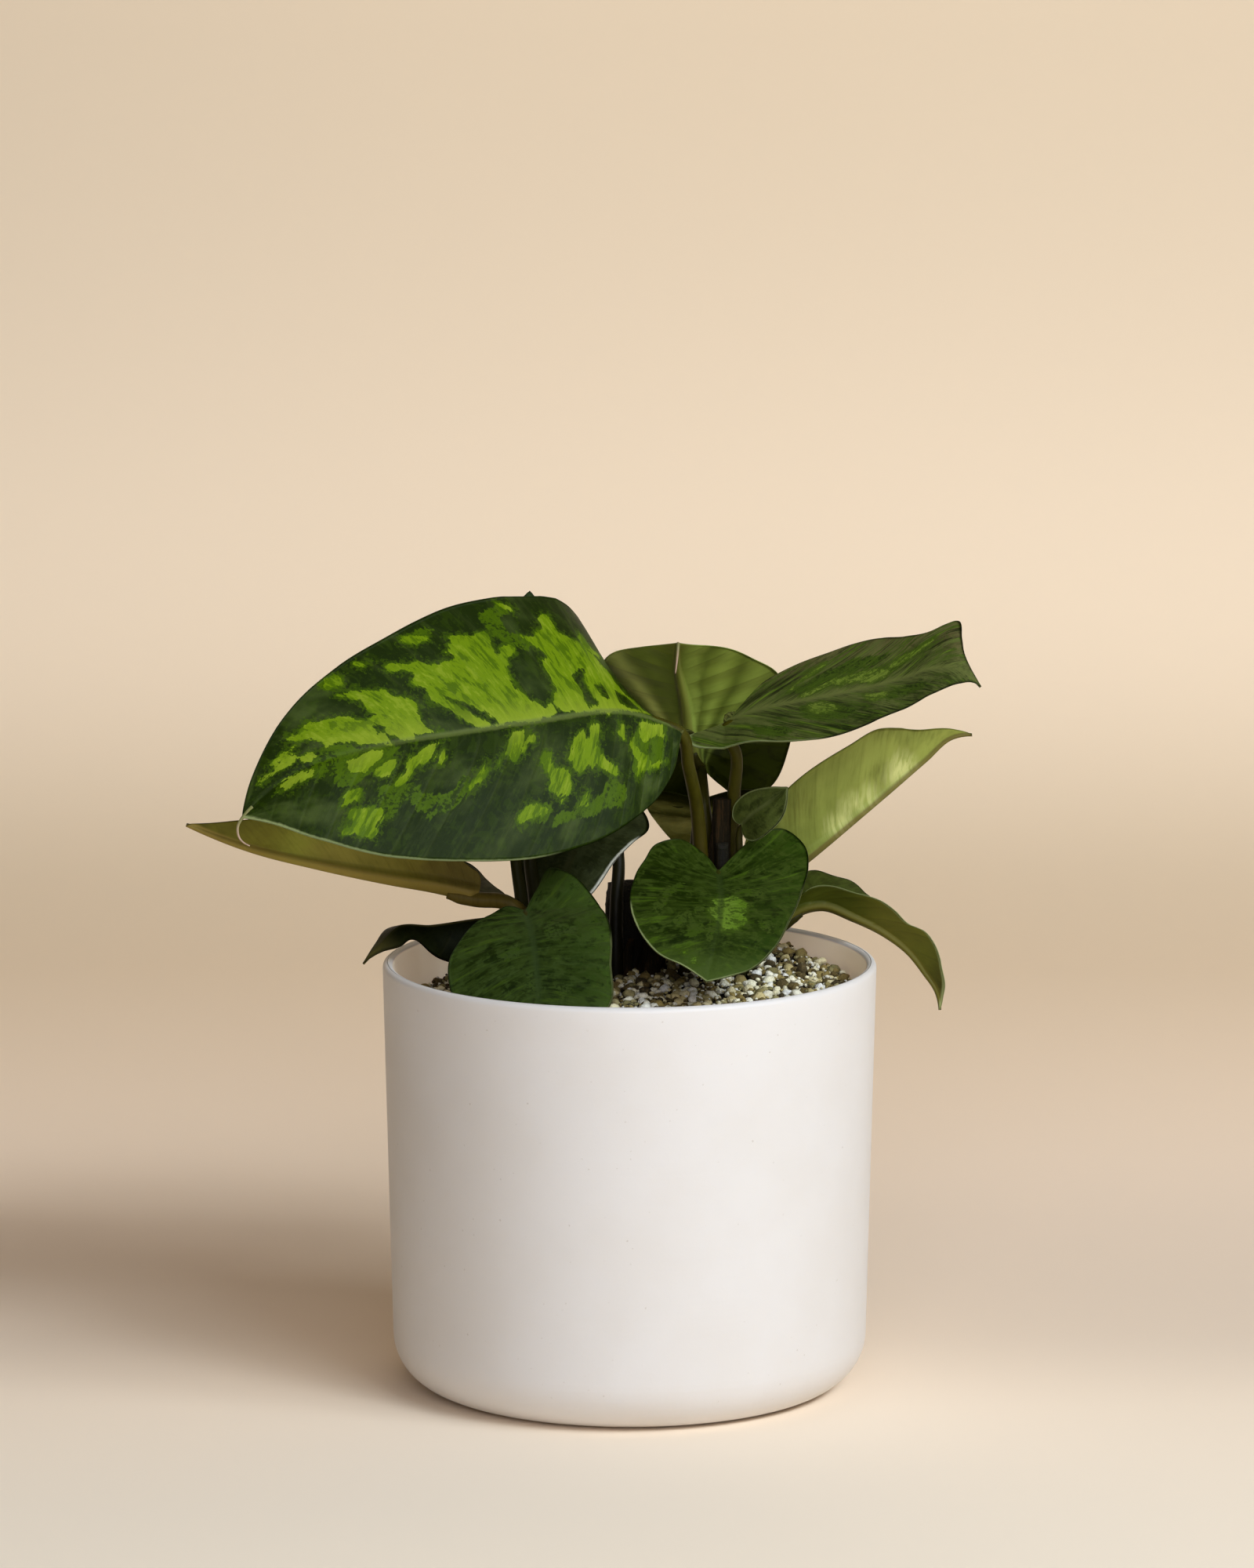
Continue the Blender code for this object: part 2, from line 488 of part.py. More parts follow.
def outer_radius(z):
    return BASE_RADIUS + (RIM_RADIUS - BASE_RADIUS) * z / POT_HEIGHT


def arc(centre, radius, start, end, count):
    """Points on an arc in the X-Z plane, angles in degrees."""
    angles = [math.radians(start + (end - start) * k / count) for k in range(count + 1)]
    return [(centre[0] + radius * math.cos(a), centre[1] + radius * math.sin(a)) for a in angles]


def build_pot(mat):
    """Turned pot: up the inside, over the lip and down the outside."""
    inner_fillet = BASE_FILLET - WALL
    floor_corner = (outer_radius(FLOOR + inner_fillet) - WALL - inner_fillet, FLOOR + inner_fillet)
    base_corner = (outer_radius(BASE_FILLET) - BASE_FILLET, BASE_FILLET)
    lip_z = POT_HEIGHT - LIP_FILLET
    profile = [(0, FLOOR)]
    profile += arc(floor_corner, inner_fillet, -90, 0, 4)
    profile += arc((RIM_RADIUS - WALL + LIP_FILLET, lip_z), LIP_FILLET, 180, 90, 2)
    profile += arc((RIM_RADIUS - LIP_FILLET, lip_z), LIP_FILLET, 90, 0, 2)
    profile += arc(base_corner, BASE_FILLET, 0, -90, 6)
    profile += [(0, 0)]
    mesh = bpy.data.meshes.new("pot")
    edges = [(k, k + 1) for k in range(len(profile) - 1)]
    mesh.from_pydata([(r * MM, 0, z * MM) for r, z in profile], edges, [])
    pot = bpy.data.objects.new("pot", mesh)
    bpy.context.scene.collection.objects.link(pot)
    mesh.materials.append(mat)
    screw = pot.modifiers.new("turn", "SCREW")
    screw.axis = "Z"
    screw.steps = POT_STEPS
    screw.render_steps = POT_STEPS
    screw.use_merge_vertices = True
    screw.merge_threshold = 0.0001
    return pot


def soil_level(x, y):
    """Top of the soil without its pebbles: it slopes down to the front and left."""
    z = SOIL_LEVEL + SOIL_SLOPE[0] * x + SOIL_SLOPE[1] * y
    z -= 5.0 * math.exp(-((x + 45)**2 + (y - 25)**2) / 25**2)
    z -= 8.5 * math.exp(-((x + 26)**2 + (y + 43)**2) / 19**2)
    z += 1.2 * math.exp(-((x - 36)**2 + (y - 46)**2) / 14**2)
    return z


def is_pebble(k, n):
    """True for every third point of the soil's rings, so that each pebble has gaps round it."""
    corners = [(1, 0), (0, 1), (-1, 1), (-1, 0), (0, -1), (1, -1)]
    sector, step = divmod(n, k)
    (a, b), (c, d) = corners[sector], corners[(sector + 2) % 6]
    return (k * a + step * c - k * b - step * d) % 3 == 0


def soil_points(rim):
    """Points of the soil's top in rings, with seeded pebbles that stand out of it."""
    rng = random.Random(PEBBLE_SEED)
    points = [(0, 0, soil_level(0, 0) + PEBBLE_RISE[1])]
    for k in range(1, SOIL_RINGS + 1):
        for n in range(6 * k):
            r, a = rim * k / SOIL_RINGS, 2 * math.pi * n / (6 * k)
            x, y, lift = r * math.cos(a), r * math.sin(a), 0
            if k < SOIL_RINGS and is_pebble(k, n):
                x += rng.uniform(-PEBBLE_SHIFT, PEBBLE_SHIFT)
                y += rng.uniform(-PEBBLE_SHIFT, PEBBLE_SHIFT)
                lift = rng.uniform(*PEBBLE_RISE)
            points.append((x, y, soil_level(x, y) + lift))
    return points


def build_soil(mat, feet):
    """Soil that fills the pot, with a pebbled top and plain holes for what stands in it."""
    fillet = BASE_FILLET - WALL
    corner = (outer_radius(FLOOR + fillet) - WALL - fillet, FLOOR + fillet)
    rim = outer_radius(0.8 * SOIL_LEVEL) - WALL - SOIL_CLEARANCE
    verts = soil_points(rim)
    faces = []

    def ring_start(k):
        return 1 + 3 * k * (k - 1)

    for k in range(1, SOIL_RINGS + 1):
        outer, inner = ring_start(k), ring_start(k - 1) if k > 1 else 0
        inner_count = 6 * (k - 1)
        for sector in range(6):
            for n in range(k):
                a = outer + sector * k + n
                b = outer + (sector * k + n + 1) % (6 * k)
                c = inner + (sector * (k - 1) + n) % inner_count if k > 1 else 0
                faces.append((a, b, c))
                if n < k - 1:
                    d = inner + (sector * (k - 1) + n + 1) % inner_count
                    faces.append((b, d, c))
    count = 6 * SOIL_RINGS
    upper = ring_start(SOIL_RINGS)
    for r, z in arc(corner, fillet - SOIL_CLEARANCE, 0, -90, 4):
        lower = len(verts)
        for n in range(count):
            a = 2 * math.pi * n / count
            verts.append((r * math.cos(a), r * math.sin(a), z))
        for n in range(count):
            m = (n + 1) % count
            faces.append((upper + n, lower + n, lower + m, upper + m))
        upper = lower
    verts.append((0, 0, FLOOR + SOIL_CLEARANCE))
    centre = len(verts) - 1
    for n in range(count):
        faces.append((upper + n, centre, upper + (n + 1) % count))
    soil = mesh_object("soil", verts, faces, mat)
    cut_holes(soil, feet)
    return soil


def cut_holes(soil, feet):
    """Plain round holes, each a little wider than what stands in it."""
    group = bpy.data.collections.new("soil_cutters")
    for x, y, z, radius in feet:
        bpy.ops.mesh.primitive_cylinder_add(
            vertices=12, radius=(radius + HOLE_CLEARANCE) / math.cos(math.pi / 12) * MM,
            depth=2 * HOLE_DEPTH * MM, location=(x * MM, y * MM, z * MM))
        cutter = bpy.context.object
        cutter.hide_render = True
        cutter.display_type = "WIRE"
        group.objects.link(cutter)
    boolean = soil.modifiers.new("holes", "BOOLEAN")
    boolean.operation = "DIFFERENCE"
    boolean.operand_type = "COLLECTION"
    boolean.collection = group
    boolean.solver = "EXACT"
    select_only(soil)
    bpy.ops.object.modifier_apply(modifier=boolean.name)
    for cutter in list(group.objects):
        bpy.data.objects.remove(cutter, do_unlink=True)
    bpy.data.collections.remove(group)


def crown_foot(name):
    x, y, radius, _, _ = CROWNS[name]
    return x, y, soil_level(x, y), radius


def build_crown(name, mat):
    """Short stem with the ring scars and torn sheaths of old leaves."""
    x, y, radius, top_radius, top = CROWNS[name]
    ground = soil_level(x, y)
    heights = np.linspace(ground - HOLE_DEPTH + 1, top, 8)
    verts, faces = [], []
    for k, z in enumerate(heights):
        rise = max(0, (z - ground - 2) / (top - ground - 2))
        base = radius + (top_radius - radius) * rise
        for n in range(CROWN_SIDES):
            a = 2 * math.pi * n / CROWN_SIDES
            ridge = 0.1 * math.sin(3 * a + 1.7 * k) * min(1, 3 * rise)
            torn = 0.14 * radius * math.sin(2 * a + 0.8) if k == len(heights) - 1 else 0
            r = base * (0.93 + ridge)
            verts.append((x + r * math.cos(a), y + r * math.sin(a), z + torn))
        if k:
            for n in range(CROWN_SIDES):
                m = (n + 1) % CROWN_SIDES
                low, high = (k - 1) * CROWN_SIDES, k * CROWN_SIDES
                faces.append((low + n, low + m, high + m, high + n))
    faces.append(tuple(range(CROWN_SIDES))[::-1])
    crest = len(verts)
    verts.append((x, y, top + 0.25 * top_radius))
    low = (len(heights) - 1) * CROWN_SIDES
    for n in range(CROWN_SIDES):
        faces.append((low + n, low + (n + 1) % CROWN_SIDES, crest))
    return mesh_object(name, verts, faces, mat)


def build():
    clear_scene()
    white = material("white_glaze", (0.86, 0.85, 0.83), 0.55)
    grit = material("gritty_soil", (0.30, 0.26, 0.19), 0.95)
    green = material("leaf_green", (0.07, 0.17, 0.04), 0.4)
    stem = material("old_stem", (0.16, 0.11, 0.05), 0.8)
    build_pot(white)
    for leaf in LEAVES:
        build_leaf(leaf, green)
    for name in CROWNS:
        build_crown(name, stem)
    feet = [crown_foot(name) for name in CROWNS]
    for leaf in LEAVES:
        x, y, z = leaf["stalk"][0]
        feet.append((x, y, z, leaf["stalk_radius"][0]))
    build_soil(grit, feet)


build()
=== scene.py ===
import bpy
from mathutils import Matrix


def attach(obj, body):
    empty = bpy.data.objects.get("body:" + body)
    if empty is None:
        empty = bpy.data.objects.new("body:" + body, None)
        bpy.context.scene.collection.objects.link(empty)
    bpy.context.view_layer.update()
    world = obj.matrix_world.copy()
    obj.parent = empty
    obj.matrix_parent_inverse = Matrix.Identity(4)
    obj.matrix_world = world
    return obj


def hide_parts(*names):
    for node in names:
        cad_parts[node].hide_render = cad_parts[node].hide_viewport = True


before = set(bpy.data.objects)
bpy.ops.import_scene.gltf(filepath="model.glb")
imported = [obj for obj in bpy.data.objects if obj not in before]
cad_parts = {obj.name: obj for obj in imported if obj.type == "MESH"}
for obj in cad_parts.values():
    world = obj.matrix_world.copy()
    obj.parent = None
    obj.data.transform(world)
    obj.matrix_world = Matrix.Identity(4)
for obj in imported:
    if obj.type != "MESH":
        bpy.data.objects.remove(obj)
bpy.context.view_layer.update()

import math
import random

import bpy
import numpy as np
from mathutils import Vector, noise

mm = 0.001  # the tables below are in millimetres
fullTurn = 2 * math.pi


class Value:
    # one output socket; arithmetic on it adds Math nodes
    def __init__(self, paint, socket):
        self.paint = paint
        self.socket = socket

    def math(self, operation, *numbers):
        return self.paint.node("Math", dict(operation=operation), dict(enumerate(numbers)))

    def __add__(self, other):
        return self.math("ADD", self, other)

    def __radd__(self, other):
        return self.math("ADD", other, self)

    def __sub__(self, other):
        return self.math("SUBTRACT", self, other)

    def __rsub__(self, other):
        return self.math("SUBTRACT", other, self)

    def __mul__(self, other):
        return self.math("MULTIPLY", self, other)

    def __rmul__(self, other):
        return self.math("MULTIPLY", other, self)

    def __truediv__(self, other):
        return self.math("DIVIDE", self, other)

    def __pow__(self, other):
        return self.math("POWER", self, other)

    def __abs__(self):
        return self.math("ABSOLUTE", self)

    def fract(self):
        return self.math("FRACT", self)

    def above(self, other):
        return self.math("GREATER_THAN", self, other)

    def least(self, other):
        return self.math("MINIMUM", self, other)

    def step(self, low, high):
        # 0 below low, 1 above high, smooth between
        return self.paint.node("MapRange", dict(interpolation_type="SMOOTHSTEP"),
                               {"Value": self, "From Min": low, "From Max": high})

    def bell(self, width):
        # 1 at zero, falling away over width
        return self.math("EXPONENT", (self / width) ** 2 * -1)


class Paint:
    # one material and the nodes behind its shader
    def __init__(self, name, **finish):
        self.material = bpy.data.materials.new(name)
        self.material.use_nodes = True
        self.tree = self.material.node_tree
        self.shader = self.tree.nodes["Principled BSDF"]
        self.feed(finish)

    def put(self, socket, value):
        if isinstance(value, Value):
            self.tree.links.new(value.socket, socket)
        elif isinstance(value, tuple) and len(value) == 3 and socket.type == "RGBA":
            socket.default_value = (*value, 1)
        else:
            socket.default_value = value

    def feed(self, inputs):
        for name, value in inputs.items():
            self.put(self.shader.inputs[name], value)

    def node(self, kind, settings=None, inputs=None, output=0):
        made = self.tree.nodes.new("ShaderNode" + kind)
        for name, value in (settings or {}).items():
            if name == "stops":
                elements = made.color_ramp.elements
                while len(elements) > len(value):
                    elements.remove(elements[-1])
                while len(elements) < len(value):
                    elements.new(0.5)
                for element, (position, colour) in zip(elements, value):
                    element.position = position
                    element.color = (*colour, 1)
            else:
                setattr(made, name, value)
        for name, value in (inputs or {}).items():
            self.put(made.inputs[name], value)
        return Value(self, made.outputs[output])

    def value(self, attribute):
        return self.node("Attribute", dict(attribute_name=attribute), output=2)

    def vector(self, x, y, z=0.0):
        return self.node("CombineXYZ", None, {0: x, 1: y, 2: z})

    def place(self):
        return self.node("TexCoord", output=3)

    def scaled(self, vector, x, y, z):
        return self.node("VectorMath", dict(operation="MULTIPLY"), {0: vector, 1: (x, y, z)})

    def noise(self, vector, scale, detail=3.0, roughness=0.55, distortion=0.0):
        return self.node("TexNoise", None, {"Vector": vector, "Scale": scale, "Detail": detail,
                                            "Roughness": roughness, "Distortion": distortion})

    def cells(self, vector, scale):
        return self.node("TexVoronoi", None, {"Vector": vector, "Scale": scale})

    def ramp(self, factor, *stops, between="LINEAR"):
        made = self.node("ValToRGB", dict(stops=stops), {0: factor})
        made.socket.node.color_ramp.interpolation = between
        return made

    def blend(self, mask, first, second, mode="MIX"):
        return self.node("Mix", dict(data_type="RGBA", blend_type=mode),
                         {0: mask, 6: first, 7: second}, output=2)

    def over(self, tone, *coats):
        # coats of (mask, colour) one after the other
        for mask, colour in coats:
            tone = self.blend(mask, tone, colour)
        return tone

    def relief(self, height, strength, distance):
        return self.node("Bump", None, {"Strength": strength, "Distance": distance,
                                        "Height": height})


def rgb(red, green, blue):
    # screen colour 0-255 to the linear colour that shaders take
    return tuple((c / 255 / 12.92) if c < 10.3 else ((c / 255 + 0.055) / 1.055) ** 2.4
                 for c in (red, green, blue))


def dimmed(colour, share):
    return tuple(c * share for c in colour)


def addPiece(name, points, faces, materials, faceMaterial=None, values=None):
    # points in millimetres; values are numbers kept on each point for the shaders
    mesh = bpy.data.meshes.new(name)
    mesh.from_pydata((np.asarray(points, float) * mm).tolist(), [], faces)
    for material in materials:
        mesh.materials.append(material)
    if faceMaterial is not None:
        mesh.polygons.foreach_set("material_index", np.asarray(faceMaterial, np.int32))
    for key, numbers in (values or {}).items():
        layer = mesh.attributes.new(key, "FLOAT", "POINT")
        layer.data.foreach_set("value", np.asarray(numbers, np.float32))
    mesh.polygons.foreach_set("use_smooth", [True] * len(mesh.polygons))
    mesh.update()
    piece = bpy.data.objects.new(name, mesh)
    bpy.context.scene.collection.objects.link(piece)
    return piece


def unit(v):
    return v / np.maximum(np.linalg.norm(v, axis=-1, keepdims=True), 1e-9)


def smoothPath(points, fractions):
    # smooth curve through points, read at fractions of its length
    p = np.array(points, float)
    run = np.r_[0, np.cumsum(np.linalg.norm(np.diff(p, axis=0), axis=1))]
    at = run / run[-1]
    step = np.diff(at)[:, None]
    slope = np.diff(p, axis=0) / step
    tangent = np.empty_like(p)
    tangent[1:-1] = (slope[1:] * step[:-1] + slope[:-1] * step[1:]) / (step[1:] + step[:-1])
    tangent[0] = 2 * slope[0] - tangent[1]
    tangent[-1] = 2 * slope[-1] - tangent[-2]
    t = np.asarray(fractions, float)
    k = np.clip(np.searchsorted(at, t, side="right") - 1, 0, len(p) - 2)
    h = step[k]
    u = ((t - at[k]) / h[:, 0])[:, None]
    start = (2 * u**3 - 3 * u**2 + 1) * p[k] + (u**3 - 2 * u**2 + u) * h * tangent[k]
    end = (3 * u**2 - 2 * u**3) * p[k + 1] + (u**3 - u**2) * h * tangent[k + 1]
    return start + end


def along(stations, s):
    # value at fraction s, straight between (fraction, value) stations
    at = [fraction for fraction, _ in stations]
    values = np.array([value for _, value in stations], float)
    if values.ndim == 1:
        return np.interp(s, at, values)
    return np.stack([np.interp(s, at, column) for column in values.T], -1)


def softStep(x, low, high):
    u = np.clip((x - low) / (high - low), 0, 1)
    return u * u * (3 - 2 * u)


def band(low, high, count):
    # faces between two rings of points that start at low and high
    return [(low + n, low + (n + 1) % count, high + (n + 1) % count, high + n)
            for n in range(count)]


def circle(radius, z, count):
    return [(radius * math.cos(a), radius * math.sin(a), z)
            for a in fullTurn * np.arange(count) / count]


def tube(path, radii, sides):
    # closed round tube; returns points, faces and each point's run along it, 0 to 1
    path = np.array(path, float)
    tangent = unit(np.gradient(path, axis=0))
    side = unit(np.cross(tangent[0], (0.3, 0.9, 0.1)))
    count = len(path)
    points, faces = [], []
    for k in range(count):
        side = unit(side - (side @ tangent[k]) * tangent[k])
        other = np.cross(tangent[k], side)
        turn = fullTurn * np.arange(sides) / sides
        ring = np.cos(turn)[:, None] * side + np.sin(turn)[:, None] * other
        points.append(path[k] + ring * np.broadcast_to(radii[k], (sides,))[:, None])
        if k:
            faces += band((k - 1) * sides, k * sides, sides)
    points = np.vstack(points + [path[:1], path[-1:]])
    first, last = count * sides, count * sides + 1
    for n in range(sides):
        m = (n + 1) % sides
        faces.append((first, m, n))
        faces.append((last, (count - 1) * sides + n, (count - 1) * sides + m))
    return points, faces, np.r_[np.repeat(np.linspace(0, 1, count), sides), 0, 1]


# camera, floor and light
# paper is its tones at places from front to back, in metres, up to the wall; their lighter and
# darker bands are painted light and shade
view = dict(place=(-0.00065, -1.7548, 0.44709), tiltDown=9.4747, lens=162, sensor=36,
            near=0.1, far=20)
studio = dict(
    wallStart=0.55, wallRadius=0.5, wallHeight=2.2, reach=9.0, bendSteps=24,
    paper=[(-0.16, rgb(255, 240, 218)), (-0.03, rgb(252, 234, 211)), (0.05, rgb(236, 217, 195)),
           (0.28, rgb(250, 228, 203)), (0.64, rgb(225, 205, 178)), (0.82, rgb(248, 229, 204)),
           (1.0, rgb(224, 206, 181))],
    lights=dict(
        keyFront=dict(place=(0.821, -1.545, 1.467), size=0.6, power=11.2, colour=(0.84, 0.92, 1)),
        key=dict(place=(1.215, -1.258, 1.467), size=0.6, power=20, colour=(0.84, 0.92, 1)),
        keySide=dict(place=(1.545, -0.821, 1.467), size=0.6, power=11.4, colour=(0.84, 0.92, 1)),
        fill=dict(place=(0.2, -2.3, 0.95), size=1.6, power=20, colour=(0.97, 0.94, 1)),
        wall=dict(place=(0.1, 0.45, 1.1), size=0.8, power=4.2, colour=(1, 0.9, 0.74),
                  target=(0.1, 1.45, 0.85))),
    room=(1, 0.965, 0.92), roomStrength=0.02)


def addCamera():
    camera = bpy.data.objects.new("camera", bpy.data.cameras.new("camera"))
    camera.data.lens = view["lens"]
    camera.data.sensor_width = view["sensor"]
    camera.data.clip_start, camera.data.clip_end = view["near"], view["far"]
    camera.location = view["place"]
    camera.rotation_euler = (math.radians(90 - view["tiltDown"]), 0, 0)
    bpy.context.scene.collection.objects.link(camera)
    bpy.context.scene.camera = camera


def addLight(name, place, size, power, colour, target=(0, 0, 0.1)):
    light = bpy.data.objects.new(name, bpy.data.lights.new(name, "AREA"))
    light.data.shape = "DISK"
    light.data.size = size
    light.data.energy = power
    light.data.color = colour
    light.location = place
    light.rotation_euler = (Vector(target) - Vector(place)).to_track_quat("-Z", "Y").to_euler()
    bpy.context.scene.collection.objects.link(light)


def addStudio():
    # paper that lies as the floor and sweeps up into a wall
    start, radius, top = studio["wallStart"], studio["wallRadius"], studio["wallHeight"]
    reach, steps = studio["reach"], studio["bendSteps"]
    profile = [(-reach, 0.0), (start, 0.0)]
    for k in range(1, steps + 1):
        a = math.pi / 2 * k / steps
        profile.append((start + radius * math.sin(a), radius * (1 - math.cos(a))))
    profile.append((start + radius, top))
    points = [(x / mm, y / mm, z / mm) for y, z in profile for x in (-reach, reach)]
    faces = [(2 * k, 2 * k + 1, 2 * k + 3, 2 * k + 2) for k in range(len(profile) - 1)]
    paint = Paint("studioPaper", Roughness=0.95)
    place = paint.place()
    back = paint.node("SeparateXYZ", None, {0: place}, 1)
    low, high = studio["paper"][0][0], studio["paper"][-1][0]
    tone = paint.ramp((back - low) / (high - low),
                      *[((y - low) / (high - low), colour) for y, colour in studio["paper"]],
                      between="CARDINAL")
    # the wall can be looked through from behind
    behind = paint.node("NewGeometry", output=6)
    paint.feed({"Base Color": tone, "Alpha": 1 - behind})
    addPiece("floor", points, faces, [paint.material])
    for name, light in studio["lights"].items():
        addLight(name, **light)
    world = bpy.data.worlds.new("room")
    world.use_nodes = True
    background = world.node_tree.nodes["Background"]
    background.inputs["Color"].default_value = (*studio["room"], 1)
    background.inputs["Strength"].default_value = studio["roomStrength"]
    bpy.context.scene.world = world
    bpy.context.scene.view_settings.view_transform = "Standard"


addCamera()
addStudio()
print("camera, floor and lights done")


# the wall is thin: through, depth and spread are the light that goes into it; lit is an emission
# glow painted on the inner wall and inside a lighter, warmer inner wall colour, both painted light
pot = dict(height=109.0, rimRadius=62.5, baseRadius=60.0, wall=2.6, floor=5.0, baseFillet=13.5,
           lipFillet=1.4, around=192, glaze=rgb(224, 220, 216), bare=rgb(214, 200, 182),
           clouded=(0.975, 0.965, 0.95), pit=rgb(176, 164, 148), inside=rgb(250, 236, 212),
           through=0.18, depth=0.0045, spread=(1, 0.9, 0.74), lit=(0.15, 0.115, 0.086),
           steps=dict(corner=12, inside=20, lip=6, outside=26, foot=16))


def outerRadius(z):
    return pot["baseRadius"] + (pot["rimRadius"] - pot["baseRadius"]) * z / pot["height"]


def arcPoints(centre, radius, start, end, count):
    angles = [math.radians(start + (end - start) * k / count) for k in range(count + 1)]
    return [(centre[0] + radius * math.cos(a), centre[1] + radius * math.sin(a)) for a in angles]


def straight(low, high, count):
    # points between two ends, without the ends
    return [(low[0] + (high[0] - low[0]) * f, low[1] + (high[1] - low[1]) * f)
            for f in np.linspace(0, 1, count)[1:-1]]


def potGlaze():
    paint = Paint("whiteGlaze", **{"Subsurface Weight": pot["through"],
                                   "Subsurface Radius": pot["spread"],
                                   "Subsurface Scale": pot["depth"], "Emission Strength": 1.0})
    place = paint.place()
    height = paint.node("SeparateXYZ", None, {0: place}, 2)
    cloud = paint.noise(place, 35, 3)
    speck = paint.noise(place, 900, 2)
    pits = paint.cells(place, 420)
    throwing = paint.noise(paint.scaled(place, 2, 2, 260), 1, 2)
    clouded = tuple(c * f for c, f in zip(pot["glaze"], pot["clouded"]))
    # the inner wall is painted lighter and warmer and glows by emission: painted light
    inside, underneath = paint.value("inside"), 1 - height.step(0.0004, 0.0012)
    tone = paint.over(
        pot["glaze"],
        (cloud.step(0.35, 0.7), clouded),
        ((0.16 - pits).step(0.0, 0.1) * speck.step(0.56, 0.66) * 0.45, pot["pit"]),
        (inside * (0.8 + cloud * 0.4), pot["inside"]),
        (underneath, pot["bare"]))
    uneven = throwing * 0.5 + cloud * 0.35 + speck * 0.12
    paint.feed({"Base Color": tone,
                "Emission Color": paint.blend(inside, (0, 0, 0), pot["lit"]),
                "Roughness": 0.42 + cloud * 0.16 + underneath * 0.35,
                "Normal": paint.relief(uneven, 0.22, 0.0006)})
    return paint.material


def innerCorner():
    # centre and radius of the rounded corner inside the pot
    corner = pot["baseFillet"] - pot["wall"]
    z = pot["floor"] + corner
    return (outerRadius(z) - pot["wall"] - corner, z), corner


def addPot():
    (inner, corner), steps = innerCorner(), pot["steps"]
    outer = (outerRadius(pot["baseFillet"]) - pot["baseFillet"], pot["baseFillet"])
    lip, lipZ = pot["lipFillet"], pot["height"] - pot["lipFillet"]
    innerLip = (pot["rimRadius"] - pot["wall"] + lip, lipZ)
    outerLip = (pot["rimRadius"] - lip, lipZ)
    profile = [(0, pot["floor"]), (inner[0] * 0.5, pot["floor"])]
    profile += arcPoints(inner, corner, -90, 0, steps["corner"])
    lipIn = arcPoints(innerLip, lip, 180, 90, steps["lip"])
    foot = arcPoints(outer, pot["baseFillet"], 0, -90, steps["foot"])
    profile += straight(profile[-1], lipIn[0], steps["inside"])
    innerCount = len(profile) + 1
    profile += lipIn + arcPoints(outerLip, lip, 90, 0, steps["lip"])
    profile += straight(profile[-1], foot[0], steps["outside"]) + foot
    profile += [(outer[0] * 0.5, 0), (0, 0)]
    count = pot["around"]
    points, faces = [(0, 0, profile[0][1])], []
    for r, z in profile[1:-1]:
        points += circle(r, z, count)
    points.append((0, 0, 0))
    rings = len(profile) - 2
    for n in range(count):
        m = (n + 1) % count
        faces.append((0, 1 + n, 1 + m))
        last = 1 + (rings - 1) * count
        faces.append((last + m, last + n, len(points) - 1))
        for k in range(rings - 1):
            a, b = 1 + k * count, 1 + (k + 1) * count
            faces.append((a + n, b + n, b + m, a + m))
    inside = [1.0] + [float(k < innerCount) for k in range(rings) for _ in range(count)] + [0.0]
    piece = addPiece("white_pot", points, [f[::-1] for f in faces], [potGlaze()],
                     values=dict(inside=inside))
    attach(piece, "root")
    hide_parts("pot")


addPot()
print("pot done")


# soil and grit; dents are (x, y, rise, reach) of its hollows and of the one heap
soil = dict(level=99.3, slope=0.1, clearance=0.4, rings=90, under=0.7, middle=0.6, lumps=0.9,
            dents=[(-45, 25, -5.0, 25), (-26, -43, -8.5, 19), (36, 46, 1.2, 14)],
            compost=[(0.36, rgb(18, 14, 8)), (0.54, rgb(44, 34, 20)), (0.74, rgb(84, 68, 42))],
            fibre=rgb(110, 92, 58))
pebbles = dict(rings=25, rise=(0.9, 2.0), shift=0.6, seed=11, size=(1.35, 1.95), sink=0.62)
grit = dict(seed=5, spread=58.6, edge=59.1, clear=0.3, rise=(-0.4, 0.9), sink=-0.1,
            medium=dict(count=2100, size=(0.7, 1.25)), fine=dict(count=5600, size=(0.34, 0.66)),
            stain=rgb(150, 126, 82), pore=rgb(84, 70, 44), dirt=rgb(34, 26, 12),
            patch=(0.42, 0.36, 0.2),
            shades=[(0.0, rgb(46, 38, 12)), (0.16, rgb(98, 82, 36)), (0.3, rgb(158, 138, 76)),
                    (0.42, rgb(130, 126, 80)), (0.54, rgb(222, 205, 146)),
                    (0.68, rgb(254, 248, 210)), (1.0, rgb(255, 255, 248))])


def soilLevel(x, y):
    z = soil["level"] + soil["slope"] * y
    for u, v, rise, reach in soil["dents"]:
        z += rise * math.exp(-((x - u)**2 + (y - v)**2) / reach**2)
    return z


def soilEdge():
    return outerRadius(0.8 * soil["level"]) - pot["wall"] - soil["clearance"]


def isPebble(k, n):
    # every third point of the rings
    corners = [(1, 0), (0, 1), (-1, 1), (-1, 0), (0, -1), (1, -1)]
    sector, step = divmod(n, k)
    (a, b), (c, d) = corners[sector], corners[(sector + 2) % 6]
    return (k * a + step * c - k * b - step * d) % 3 == 0


def pebblePlaces():
    # the same places and heights as the pebbles of the soil's solid
    rng = random.Random(pebbles["seed"])
    edge, low, high = soilEdge(), *pebbles["rise"]
    places = [(0, 0, soilLevel(0, 0) + high)]
    for k in range(1, pebbles["rings"]):
        for n in range(6 * k):
            if isPebble(k, n):
                r, a = edge * k / pebbles["rings"], fullTurn * n / (6 * k)
                x = r * math.cos(a) + rng.uniform(-pebbles["shift"], pebbles["shift"])
                y = r * math.sin(a) + rng.uniform(-pebbles["shift"], pebbles["shift"])
                places.append((x, y, soilLevel(x, y) + rng.uniform(low, high)))
    return places


